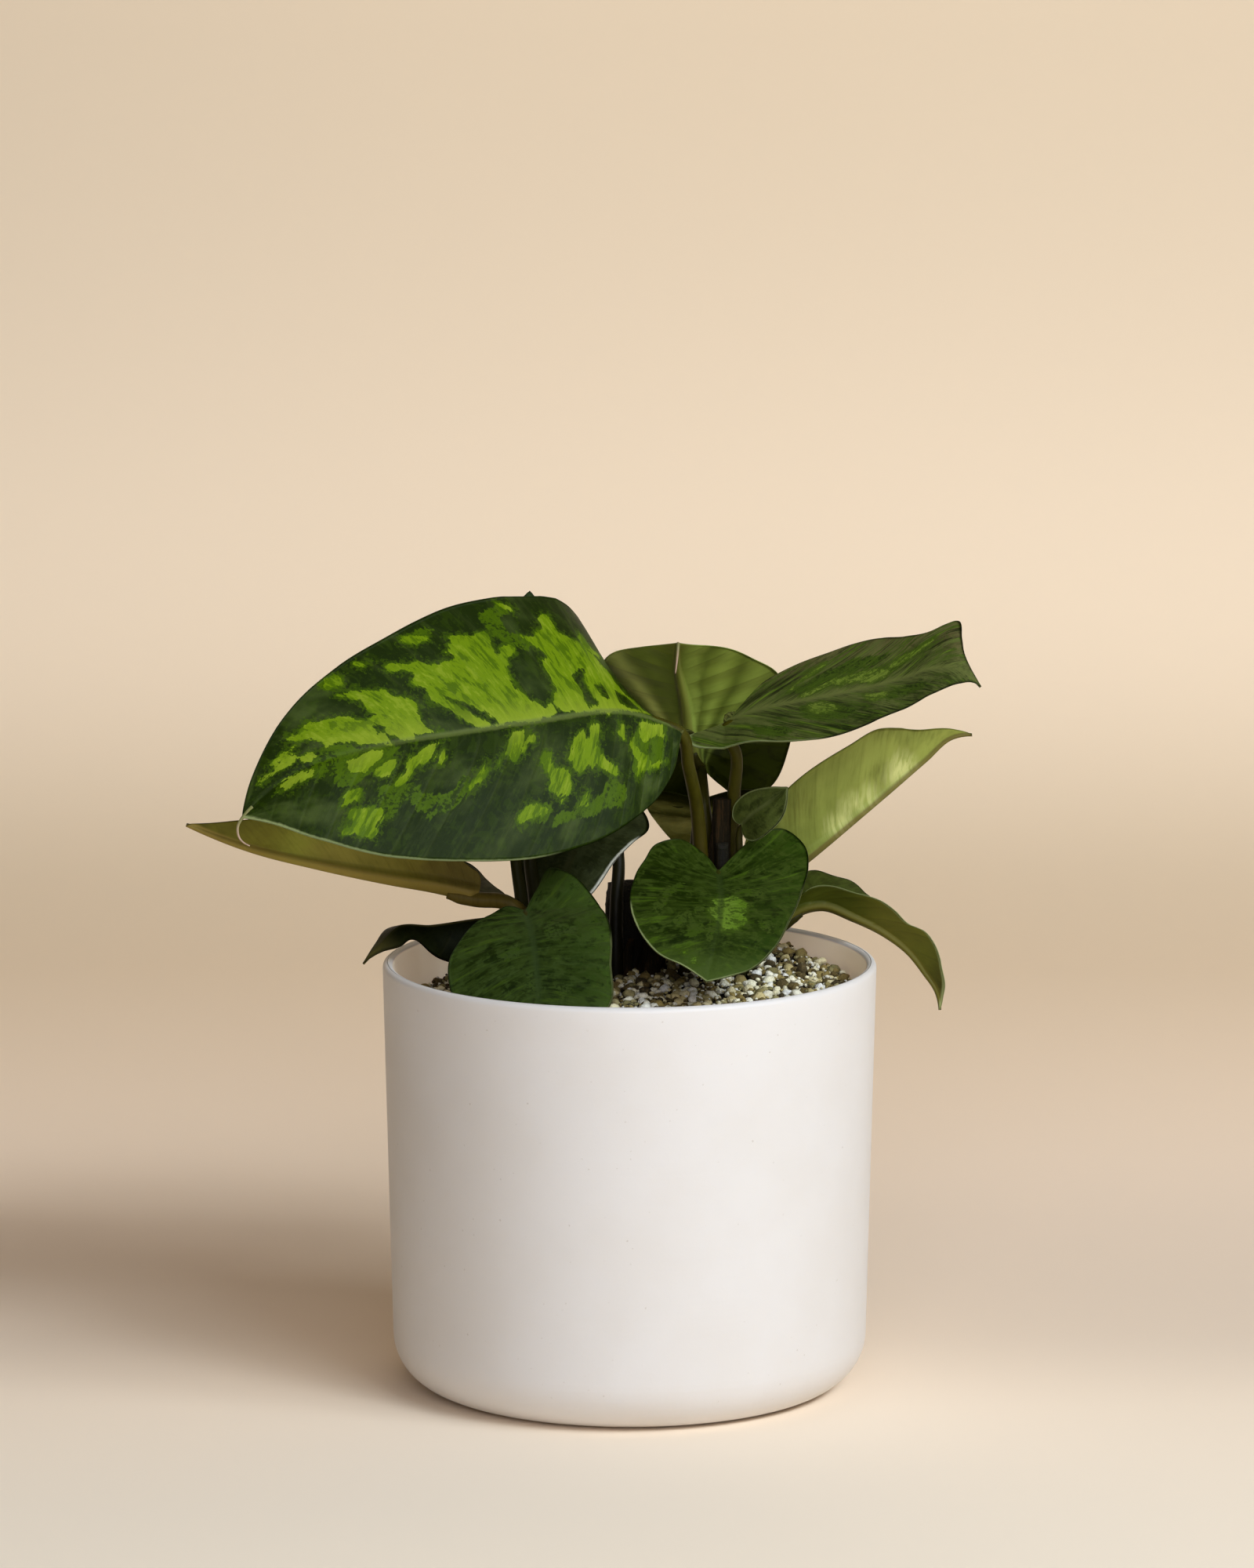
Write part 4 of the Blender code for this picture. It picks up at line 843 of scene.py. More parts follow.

# outlines of the markings, and of the glow and shade patches, which are painted highlight and
# painted shade: (mm along the rib from the base, mm across, right +, left -)
marks = dict(
    large=dict(
        lime=[[(53.5, 0.5), (57.5, 1), (67.5, 10.5), (67, 12), (70, 15), (69, 18), (71.5, 19.5),
            (73.5, 19), (75.5, 20), (75.5, 21), (75, 22), (69, 20.5), (68, 21.5), (61.5, 19.5),
            (57.5, 20), (57, 21.5), (59, 22.5), (57, 23.5), (57.5, 24.5), (56.5, 25.5), (57, 27.5),
            (50.5, 26.5), (47, 27), (46, 26), (46.5, 22.5), (46, 20.5), (45, 20), (44, 20.5),
            (44, 22), (42.5, 22.5), (40.5, 21.5), (41, 20), (43.5, 18.5), (44.5, 14.5), (44, 10.5),
            (41.5, 6.5), (37.5, 3), (37, 4), (36, 4.5), (35, 1.5), (40.5, 0)], [(34, 1.5),
            (21.5, -0.5), (10.5, 1), (15.5, 9), (16, 12.5), (18, 17.5), (27, 25.5), (26.5, 28),
            (27, 30.5), (28.5, 31), (30, 29.5), (29.5, 27.5), (31, 25.5), (33.5, 24.5), (37.5, 25),
            (32, 18.5), (32.5, 17.5), (34, 17), (34, 15), (33, 8), (35, 4.5)], [(16.5, 11),
            (14.5, 10), (8.5, 2), (10.5, 1), (16, 7.5)], [(20.5, 25.5), (18.5, 21.5), (16.5, 19.5),
            (17.5, 18), (20, 20), (21, 23.5)], [(40.5, 35.5), (37.5, 35), (36, 33), (36.5, 32),
            (38.5, 32.5)], [(69.5, 27.5), (68.5, 29), (61.5, 28), (62, 27), (65, 26.5)], [(92, 19),
            (90.5, 21.5), (88, 22), (86.5, 21), (87, 19), (88.5, 18.5)], [(83, 23.5), (79, 23),
            (80, 22)], [(66.5, 1), (69, 1.5), (70.5, 3), (71, 8.5), (72, 11), (76, 12.5), (77, 14),
            (85, 16.5), (86, 16), (87.5, 16.5), (89.5, 16), (84.5, 13), (83, 9.5), (81.5, 8.5),
            (83.5, 7.5), (78.5, 1), (74, 0), (73.5, 1)], [(104.5, 10), (101, 9.5), (99.5, 11),
            (91.5, 10.5), (88, 9.5), (87.5, 8), (83.5, 6), (83, 3.5), (81.5, 2.5), (80, -0.5),
            (85.5, 1), (91.5, 3.5), (96.5, 3.5), (96.5, 4.5), (98.5, 6), (105, 9)], [(110.5, 3.5),
            (107, 5.5), (104.5, 5), (102, 3), (100.5, 3.5), (100, 2), (102, 1), (104, 2),
            (104, 3.5), (106, 2.5)], [(112, -0.5), (108, 0), (101.5, -1.5), (102.5, -3),
            (107.5, -2.5), (112, -1.5)], [(111.5, 5.5), (103.5, 6.5), (110.5, 4.5)], [(116, 4),
            (109, 3.5), (115.5, 3)], [(92.5, -2), (86.5, -1), (83.5, -1), (83, -1.5), (84.5, -3.5),
            (88, -5), (88.5, -6.5), (93, -5.5)], [(87, -6), (79.5, -3.5), (83.5, -9), (85, -9),
            (87.5, -7.5)], [(67.5, -1.5), (69.5, -3), (71.5, -6), (76, -8), (79.5, -11),
            (82, -11.5), (83, -11), (80, -9), (77, -5), (72.5, -3), (71.5, -3.5)], [(70, -5.5),
            (68, -4.5), (68, -6), (69.5, -8.5), (70.5, -8)], [(58.5, -9.5), (60.5, -14), (64, -16),
            (65, -16), (62, -12)], [(94.5, -10), (92, -10), (93, -13), (98, -13), (96.5, -11.5),
            (96.5, -10.5)], [(95.5, -14.5), (88, -16), (88, -17.5), (88.5, -19), (90.5, -20.5),
            (91, -22), (93, -23.5), (96, -21), (100.5, -20), (100.5, -19), (98, -19), (96.5, -18.5),
            (96.5, -16.5), (97, -15.5)], [(49, -2.5), (45.5, -2), (46, -3.5), (49, -8.5), (51, -10),
            (52, -9.5), (51.5, -8), (53.5, -9), (56, -11.5)], [(44, -3), (43.5, -4.5), (44, -6),
            (46, -6), (48, -8.5), (49, -8.5)], [(44, -11), (42, -9), (40, -9), (41.5, -11.5),
            (41, -14), (39, -13.5), (37.5, -15.5), (37.5, -18), (38.5, -20.5), (40, -21),
            (41.5, -20.5), (41.5, -23), (42.5, -22), (44, -18.5), (43, -16.5)], [(37, -11.5),
            (33, -6), (30, -4.5), (30, -7), (29, -7), (28, -4), (26, -3), (24.5, -3.5), (26, -6.5),
            (27.5, -9), (28, -11.5), (24, -15.5), (24, -17.5), (25.5, -18), (29.5, -14),
            (31, -15.5), (31.5, -16), (31.5, -14), (35, -15.5), (36, -14), (35, -12.5)],
            [(21, -6.5), (18.5, -3.5), (17.5, -4.5), (19, -6.5), (19, -8)], [(13.5, -2.5),
            (12, -1.5), (9.5, -2.5), (8, -1), (6, -1), (6.5, -5.5), (8.5, -4.5), (12.5, -8),
            (14, -8)], [(18, -10), (16, -6.5), (16, -9), (15.5, -11), (13, -11.5), (12, -13.5),
            (7.5, -11), (7.5, -12), (18.5, -18), (16.5, -13.5), (18, -12)], [(54.5, -24.5),
            (52, -22.5), (48.5, -22), (46, -24), (48.5, -25.5), (51, -26), (55, -27.5)],
            [(38, -24.5), (34.5, -20), (34, -20.5), (34.5, -22.5), (35.5, -23.5), (35, -24.5)]],
        hole=[[(64, 11.5), (57, 6.5), (50.5, 0.5), (53, 0.5), (56, 3), (62, 8.5)], [(28, 11.5),
            (24, 12.5), (24.5, 8.5), (23, 2), (25, 2), (26.5, 0.5), (27, 4), (26, 6)], [(22.5, 8),
            (20.5, 9), (19.5, 7), (19.5, 5), (20, 4), (21.5, 4.5)], [(17, 7.5), (13, 5.5),
            (11, 2.5), (14.5, 1.5), (16.5, 2.5), (17.5, 4)]],
        mid=[[(46, 33), (39.5, 35.5), (36, 34), (36.5, 32), (38.5, 32), (40.5, 30), (41, 28.5),
            (40, 26), (37.5, 25.5), (35, 22.5), (37, 20), (39, 20), (42, 23.5), (46, 26),
            (46.5, 28), (46, 29.5), (47, 30)], [(65, 31), (59.5, 30), (62, 27), (65.5, 26.5),
            (69.5, 27.5), (69, 29), (65, 29.5)], [(93.5, 21.5), (86.5, 22), (86, 20.5),
            (86.5, 18.5), (88.5, 18), (92, 18.5), (93.5, 20)], [(96.5, 3.5), (94.5, 3.5), (88, 0.5),
            (77.5, -1), (84.5, -6), (88, -7.5), (93, -8.5), (96.5, -8.5), (97.5, -7.5),
            (97.5, -5.5), (99, -3.5), (102, -3), (102, -1), (100.5, 1), (98.5, 1.5)],
            [(86.5, -10.5), (79, -11.5), (77, -12.5), (77.5, -14.5), (74.5, -16), (70.5, -15),
            (72.5, -17), (75, -18), (76.5, -20), (79.5, -19.5), (81, -15.5), (84, -17),
            (84.5, -18.5), (86.5, -19.5), (88, -19), (87, -17.5), (88, -15.5), (88.5, -13.5)],
            [(74.5, -16.5), (68, -14.5), (64.5, -12), (64.5, -13), (66, -14.5), (64.5, -15.5),
            (70, -20), (78, -22), (76.5, -20), (73, -19.5)], [(18, -10), (13.5, -2.5), (12, -1.5),
            (5.5, -1), (7.5, -11.5), (11.5, -15), (19, -18), (19, -15.5), (17.5, -12.5)],
            [(54.5, -23.5), (50, -21.5), (45.5, -22.5), (44.5, -24), (45, -25.5), (48.5, -27),
            (50.5, -27.5), (52, -26.5), (55.5, -28)], [(31.5, -22), (29.5, -19.5), (27, -18.5),
            (24, -20), (22.5, -21), (23.5, -24), (26, -26), (29.5, -25.5), (35.5, -27.5),
            (40, -26.5), (46, -29), (45.5, -26.5), (42, -24.5), (39.5, -25.5), (37.5, -24.5),
            (34.5, -24)]]),
    upper=dict(
        lime=[[(29, -4), (31.5, -5), (35, -5.5), (42, -5), (45, -3.5), (43.5, -2.5), (39.5, -1),
            (36.5, -2.5), (31, -3)], [(17.5, -4.5), (27, -11), (27.5, -10.5), (18, -4)],
            [(21, -1.5), (30, -5.5), (30.5, -4.5), (21.5, -0.5)], [(44.5, -5.5), (48.5, -7),
            (53, -7.5), (56, -9), (56.5, -8.5), (53.5, -6.5), (45, -4)], [(23, 2.5), (26.5, 2),
            (30, 4), (31, 6), (29, 6.5), (26, 6.5), (24, 4.5)], [(38, 2.5), (45, 3.5), (43.5, 5),
            (40.5, 6), (38.5, 4.5)]],
        mid=[[(19.5, -4), (24, -7), (29.5, -9), (35.5, -10.5), (45, -9), (41.5, -7), (30.5, -5.5),
            (20.5, -2)], [(7.5, 5.5), (18, 9), (19, 11), (15.5, 11.5), (10, 9.5)], [(21, 3),
            (23, 1.5), (31, 4), (36, 7), (33.5, 10), (27, 9), (22.5, 6.5)], [(44, 3), (55, 4),
            (54, 6.5), (44, 7)]]),
    front=dict(
        mid=[[(10, -2.5), (5.5, -5), (5.5, -7), (8, -9.5), (9.5, -11.5), (10.5, -11), (11, -7.5),
            (13, -6), (12.5, -3.5)], [(15, 6.5), (13.5, 4.5), (15.5, 3), (18, 4.5), (20, 8),
            (17, 8.5)], [(29.5, 3.5), (23, 2), (23, 0.5), (30, 2)], [(28.5, -5), (28, -6),
            (30, -7.5), (31.5, -7), (31, -6)], [(2.5, -15.5), (3.5, -17), (7, -18), (8.5, -17),
            (6.5, -15.5)]]),
    heart=dict(
        lime=[[(13, -1), (12.5, -4), (15, -7), (19, -6), (22, -7.2), (25, -5), (26, -1), (23, 0.5),
            (21, 2), (19, 3.2), (17.5, 1), (15, 2.5)], [(36.5, 5), (36, 4.5), (37.5, 3.5),
            (37.5, 4.5)], [(34.5, 8.5), (34, 7), (35, 6.5), (35, 7.5)]],
        mid=[[(21.5, 3), (22, 0), (23.5, -2), (27, -1), (28, 1), (31, 1.5), (29.5, 2.5)], [(19, 17),
            (11, 14), (8.5, 11.5), (7.5, 8.5), (15, 13), (22.5, 15), (22, 16.5)], [(29, 8.5),
            (26, 7), (24, 4), (26.5, 3.5), (29.5, 5), (30.5, 7)], [(25, 11.5), (22, 10), (17, 4),
            (19.5, 4), (24, 9), (26.5, 10)], [(9, -3), (7.5, -7), (9, -11), (12, -11),
            (11.5, -3.5)], [(21.5, -9), (20.5, -11.5), (22.5, -13.5), (24.5, -13.5), (24, -10)]]),
    pale=dict(
        glow=[[(37.5, 3), (39.5, 4), (41, 3), (40.5, 1), (38.5, 0), (37, 0.5)], [(32.5, 5), (35, 5),
            (36.5, 2.5), (34.5, 1), (32, 1.5), (31, 3.5)], [(44.5, 3.5), (50.5, 6), (52, 4),
            (52, 1), (49.5, 0.5), (45, 1)], [(26.5, 3.5), (30, 3), (30.5, 1), (27.5, 0.5),
            (25, 1.5)]],
        shade=[[(49.5, 17), (59.5, 9), (60.5, 4.5), (50.5, 14), (48.5, 16)], [(43.5, 7.5),
            (45.5, 7), (44, 4), (41, 1.5)], [(20.5, 17), (23.5, 17), (26, 15), (26.5, 11.5),
            (22.5, 9), (19, 10.5), (17.5, 12.5)]]),
)

# colours of each leaf, as the eye sees them. stalk is (top, foot); under runs along the blade
# from its base to its tip; pale is how much the margin pales along the left and the right edge,
# where on the shade leaf the near-white margin is a painted rim light; fresh is where a half
# turns fresher green towards its margin; one lighter tone paints both pale streaks and a painted
# sheen in broad patches; fans are bands of painted sheen and painted shade on the underside:
# (side, degrees round the base, width, strength, colour)
looks = dict(
    large=dict(dark=rgb(25, 38, 1), paleAndSheen=rgb(61, 74, 30), mid=rgb(63, 87, 0), rim=rgb(46, 68, 0),
        lime=rgb(102, 128, 5), deep=rgb(72, 98, 0), bright=rgb(133, 151, 36), rib=rgb(96, 108, 52),
        ribWidth=0.9, mottle=0.14, sheenAt=(0.48, 0.72), under=[(0, rgb(90, 92, 44)), (1,
        rgb(70, 78, 34))], stalk=(rgb(60, 57, 7), rgb(54, 44, 7)), pale=dict(left=[(0.36, 0),
        (0.44, 1), (0.96, 1)])),
    upper=dict(dark=rgb(32, 42, 10), paleAndSheen=rgb(84, 91, 44), mid=rgb(56, 74, 18),
        lime=rgb(94, 116, 32), deep=rgb(66, 86, 18), bright=rgb(112, 126, 50), rim=rgb(52, 68, 16),
        speckled=0.8, rib=rgb(98, 104, 52), ribWidth=0.8, ribFade=(0.75, 1.1), brushed=1, under=[(0,
        rgb(80, 84, 36)), (1, rgb(64, 70, 28))], fresh=rgb(98, 90, 54), stalk=(rgb(64, 61, 9),
        rgb(47, 40, 5)), freshSide=-1, pale=dict(right=[(0, 1), (0.35, 1), (0.4, 0)])),
    front=dict(dark=rgb(22, 34, 3), paleAndSheen=rgb(44, 58, 16), mid=rgb(50, 65, 24), lime=rgb(68, 90, 18),
        deep=rgb(48, 68, 10), mottle=0.7, brushed=0.5, rib=rgb(44, 58, 26), ribWidth=0.9, under=[(0,
        rgb(60, 62, 26)), (1, rgb(54, 56, 24))], fresh=rgb(60, 82, 26), freshSide=-1,
        stalk=(rgb(44, 44, 9), rgb(30, 28, 4)), pale=dict(left=[(0.22, 0), (0.32, 0.8),
        (0.9, 0.8)])),
    heart=dict(dark=rgb(24, 38, 1), paleAndSheen=rgb(44, 59, 11), mid=rgb(57, 72, 22),
        lime=rgb(80, 110, 20), deep=rgb(54, 76, 8), bright=rgb(104, 130, 44), mottle=0.7,
        brushed=0.5, speckled=0.85, rib=rgb(46, 60, 22), ribWidth=0.9, under=[(0, rgb(66, 70, 28)),
        (1, rgb(58, 62, 24))], fresh=rgb(44, 65, 11), freshSide=-1, tip=rgb(68, 86, 31),
        stalk=(rgb(50, 54, 12), rgb(34, 32, 6)), pale=dict(right=[(0.4, 0), (0.5, 1), (0.97, 1)],
        left=[(0.05, 0), (0.15, 0.7), (0.9, 0.7)])),
    # the olive underside: its dark stops near the base are painted shade from the leaves above it;
    # its fans are painted sheen and painted shade, the darkest a painted shadow
    olive=dict(dark=rgb(36, 54, 22), paleAndSheen=rgb(50, 68, 34), mid=rgb(56, 82, 22), rib=rgb(74, 88, 46),
        under=[(0, rgb(58, 66, 12)), (0.04, rgb(40, 46, 12)), (0.14, rgb(47, 55, 16)), (0.3,
        rgb(95, 109, 37)), (0.6, rgb(112, 128, 46)), (0.85, rgb(87, 101, 30)), (1,
        rgb(110, 111, 48))], glow=rgb(158, 180, 78), shade=rgb(62, 74, 20), keel=rgb(116, 120, 50),
        fans=[(-1, 6, 4.5, 0.7, rgb(152, 172, 76)), (-1, 11, 1.4, 0.5, rgb(78, 92, 28)), (-1, 19, 5,
        0.65, rgb(148, 168, 72)), (-1, 28, 2.5, 0.55, rgb(72, 86, 24)), (-1, 37, 6, 0.5,
        rgb(150, 170, 74)), (1, 10, 6, 0.6, rgb(134, 150, 62)), (1, 23, 5, 0.95,
        rgb(206, 216, 112)), (1, 42, 9, 0.95, rgb(24, 30, 6))], stalk=(rgb(50, 47, 4),
        rgb(40, 34, 3))),
    # the pale underside is painted lighter for light shining through the leaf from behind, on top
    # of its own pale green; its glow patches are painted light and its shade patches painted shade
    pale=dict(dark=rgb(60, 78, 30), paleAndSheen=rgb(80, 94, 44), mid=rgb(84, 108, 36),
        rib=rgb(96, 104, 56), under=[(0, rgb(98, 102, 42)), (0.3, rgb(132, 142, 64)), (0.6,
        rgb(150, 160, 76)), (1, rgb(134, 140, 62))], glow=rgb(214, 216, 140),
        shade=rgb(118, 124, 54), keel=rgb(92, 72, 36), keelWidth=(0.35, 0.95), soft=(-3.5, 3),
        stalk=(rgb(67, 57, 12), rgb(46, 36, 6))),
    brown=dict(dark=rgb(58, 60, 22), paleAndSheen=rgb(72, 72, 30), mid=rgb(74, 80, 28), rib=rgb(94, 84, 44),
        ribWidth=1.1, under=[(0, rgb(104, 92, 40)), (0.1, rgb(108, 96, 42)), (0.24,
        rgb(128, 119, 46)), (0.51, rgb(150, 143, 62)), (0.62, rgb(143, 146, 54)), (0.75,
        rgb(120, 117, 38)), (1, rgb(76, 72, 22))], keel=rgb(148, 128, 62), stalk=(rgb(96, 82, 30),
        rgb(42, 35, 7))),
    rightLow=dict(dark=rgb(52, 58, 18), paleAndSheen=rgb(66, 73, 27), mid=rgb(64, 74, 24),
        rib=rgb(88, 84, 42), ribWidth=0.9, under=[(0, rgb(58, 65, 9)), (0.3, rgb(70, 75, 18)),
        (0.55, rgb(96, 94, 30)), (0.75, rgb(86, 88, 25)), (0.9, rgb(66, 64, 17)), (1,
        rgb(52, 50, 12))], keel=rgb(98, 91, 34), stalk=(rgb(44, 42, 7), rgb(26, 24, 3)),
        pale=dict(right=[(0.05, 0), (0.12, 0.8), (0.85, 0.8)])),
    young=dict(dark=rgb(42, 49, 15), paleAndSheen=rgb(73, 82, 35), mid=rgb(56, 66, 23), rib=rgb(82, 88, 48),
        ribWidth=0.6, under=[(0, rgb(70, 76, 34)), (1, rgb(62, 66, 28))], stalk=(rgb(52, 50, 13),
        rgb(26, 24, 4)), pale=dict(left=[(0.1, 0.5), (0.9, 0.5)], right=[(0.1, 0.5), (0.9, 0.5)])),
    # the light and dark bands of this underside ramp are painted light and painted shade
    backLow=dict(dark=rgb(54, 62, 8), paleAndSheen=rgb(92, 98, 24), mid=rgb(70, 80, 14),
        lime=rgb(92, 100, 24), rib=rgb(84, 88, 24), brushed=0.6, gloss=0.0, under=[(0,
        rgb(38, 42, 14)), (0.28, rgb(50, 54, 20)), (0.4, rgb(118, 124, 66)), (0.5, rgb(56, 60, 22)),
        (0.62, rgb(134, 138, 80)), (0.76, rgb(80, 84, 36)), (1, rgb(136, 140, 84))],
        stalk=(rgb(36, 36, 6), rgb(24, 22, 3))),
    # near-black blade and stalk: painted shade; the lighter brown tip is its own colour
    overRim=dict(dark=rgb(12, 16, 1), paleAndSheen=rgb(19, 24, 3), mid=rgb(22, 26, 6), rib=rgb(84, 78, 44),
        ribWidth=0.5, under=[(0, rgb(11, 14, 1)), (0.6, rgb(16, 19, 3)), (1, rgb(84, 80, 36))],
        tip=rgb(86, 80, 38), stalk=(rgb(18, 16, 2), rgb(12, 10, 1))),
    # its near-white left margin is a painted rim light on a leaf in deep shade
    shade=dict(dark=rgb(32, 38, 10), paleAndSheen=rgb(54, 60, 32), mid=rgb(36, 42, 15), rib=rgb(50, 52, 24),
        under=[(0, rgb(33, 38, 11)), (1, rgb(54, 60, 30))], margin=0.9, stalk=(rgb(24, 22, 3),
        rgb(14, 12, 1)), edgeTone=rgb(255, 255, 236), pale=dict(left=[(0.04, 0), (0.12, 1),
        (1, 1)])),
    rear=dict(dark=rgb(36, 52, 20), paleAndSheen=rgb(52, 68, 34), mid=rgb(58, 84, 18), rib=rgb(74, 88, 46),
        under=[(0, rgb(88, 92, 42)), (1, rgb(72, 78, 32))], stalk=(rgb(44, 44, 7), rgb(30, 28, 4))),
)
plainLook = dict(ribWidth=1.1, ribFade=(0.5, 0.82), pale={}, freshSide=0, mottle=0.45,
                 veined=0.06, brushed=0, soft=(-2.2, 2.0), keelWidth=(0.7, 1.5), margin=0.5,
                 fans=(), gloss=0.1, sheenAt=(0.38, 0.66), edgeTone=rgb(148, 158, 104), speckled=0)
bladeValues = ("vein", "out", "across", "margin", "along")
bladeForm = dict(thick=0.2, edgeThinner=0.08, rim=0.14, groove=0.12, keel=1.35, keelWidth=1.15)
stalkForm = dict(sides=18, rings=72, under=13, threadRings=22, threadSides=10,
                 threadRadius=(0.5, 0.16), thread=(rgb(176, 150, 128), rgb(120, 124, 70)))


class Blade:
    # middle surface of a leaf blade: a midrib in space and two halves that fold from it
    def __init__(self, leaf):
        self.leaf = leaf
        self.rib = smoothPath(leaf["rib"], np.linspace(0, 1, 161))
        self.arc = np.r_[0, np.cumsum(np.linalg.norm(np.diff(self.rib, axis=0), axis=1))]
        self.length = self.arc[-1]
        local = unit(np.gradient(self.rib, self.arc, axis=0))
        chord = unit(self.rib[-1] - self.rib[0])
        self.tangent = unit((1 - leaf["stiff"]) * local + leaf["stiff"] * chord)

    def frame(self, s):
        x = np.clip(s, 0, 1) * self.length
        rib = np.stack([np.interp(x, self.arc, c) for c in self.rib.T], -1)
        tangent = unit(np.stack([np.interp(x, self.arc, c) for c in self.tangent.T], -1))
        facing = np.broadcast_to(along(self.leaf["facing"], s), rib.shape)
        up = unit(facing - (facing * tangent).sum(-1, keepdims=True) * tangent)
        rib = rib + tangent * (np.minimum(s, 0) * self.length)[..., None]
        return rib, tangent, up, np.cross(tangent, up)

    def at(self, s, w, side):
        half = self.leaf["right" if side > 0 else "left"]
        rib, _, up, out = self.frame(s)
        fold = (along(half["fold"], s - 0.03) + along(half["fold"], s + 0.03)) / 2
        angle = np.radians((fold + along(half["fold"], s)) / 2 + half["curl"] * w / 40)
        across = out * (side * w * np.cos(angle))[..., None]
        rise, waves, phase = self.leaf["wave"]
        outward = (w / 15)**2 / (1 + (w / 15)**2)
        turns = waves * s + phase * (1 if side > 0 else 1.7)
        lift = w * np.sin(angle) + rise * outward * np.sin(fullTurn * turns)
        return rib + across + up * lift[..., None]

    def half(self, side, rows, columns):
        # rows follow the side veins: they leave the rib and sweep to the margin
        edge = np.array(self.leaf["right" if side > 0 else "left"]["edge"], float)
        flat = np.c_[edge[:, 0] * self.length, edge[:, 1], np.zeros(len(edge))]
        t = np.linspace(0, 1, rows + 1)
        outline = smoothPath(flat, t)
        v = np.linspace(0, 1, columns + 1)**1.2
        sweep = v**1.25
        s = (t**1.8)[:, None] * (1 - sweep) + (outline[:, 0] / self.length)[:, None] * sweep
        w = np.maximum(outline[:, 1], 0)[:, None] * v
        return self.at(s, w, side), s, w, v, t


def signedDistance(x, y, outline):
    # millimetres to a closed outline, positive inside
    best, inside = np.full(x.shape, 1e9), np.zeros(x.shape, bool)
    for (ax, ay), (bx, by) in zip(outline, outline[1:] + outline[:1]):
        dx, dy = bx - ax, by - ay
        t = np.clip(((x - ax) * dx + (y - ay) * dy) / (dx * dx + dy * dy), 0, 1)
        best = np.minimum(best, (x - ax - t * dx)**2 + (y - ay - t * dy)**2)
        crosses = ((ay > y) != (by > y)) & (x < (bx - ax) * (y - ay) / (by - ay + 1e-12) + ax)
        inside ^= crosses
    return np.where(inside, 1, -1) * np.sqrt(best)


def markFields(look, x, y):
    # signed distance to the nearest outline of each kind (markings, painted highlight, painted
    # shade), limited to 6 mm
    found = {}
    for kind in ("lime", "mid", "glow", "shade"):
        outlines = marks.get(look, {}).get(kind)
        if outlines:
            found[kind] = np.max([signedDistance(x, y, o) for o in outlines], axis=0)
    if "mid" in found and "lime" in found:
        found["mid"] = np.maximum(found["mid"], found["lime"])
    for outline in marks.get(look, {}).get("hole", ()):
        hole = -signedDistance(x, y, outline)
        found["lime"] = np.minimum(found["lime"], hole)
        found["mid"] = np.minimum(found["mid"], hole)
    return {kind: np.clip(field, -6, 6) for kind, field in found.items()}


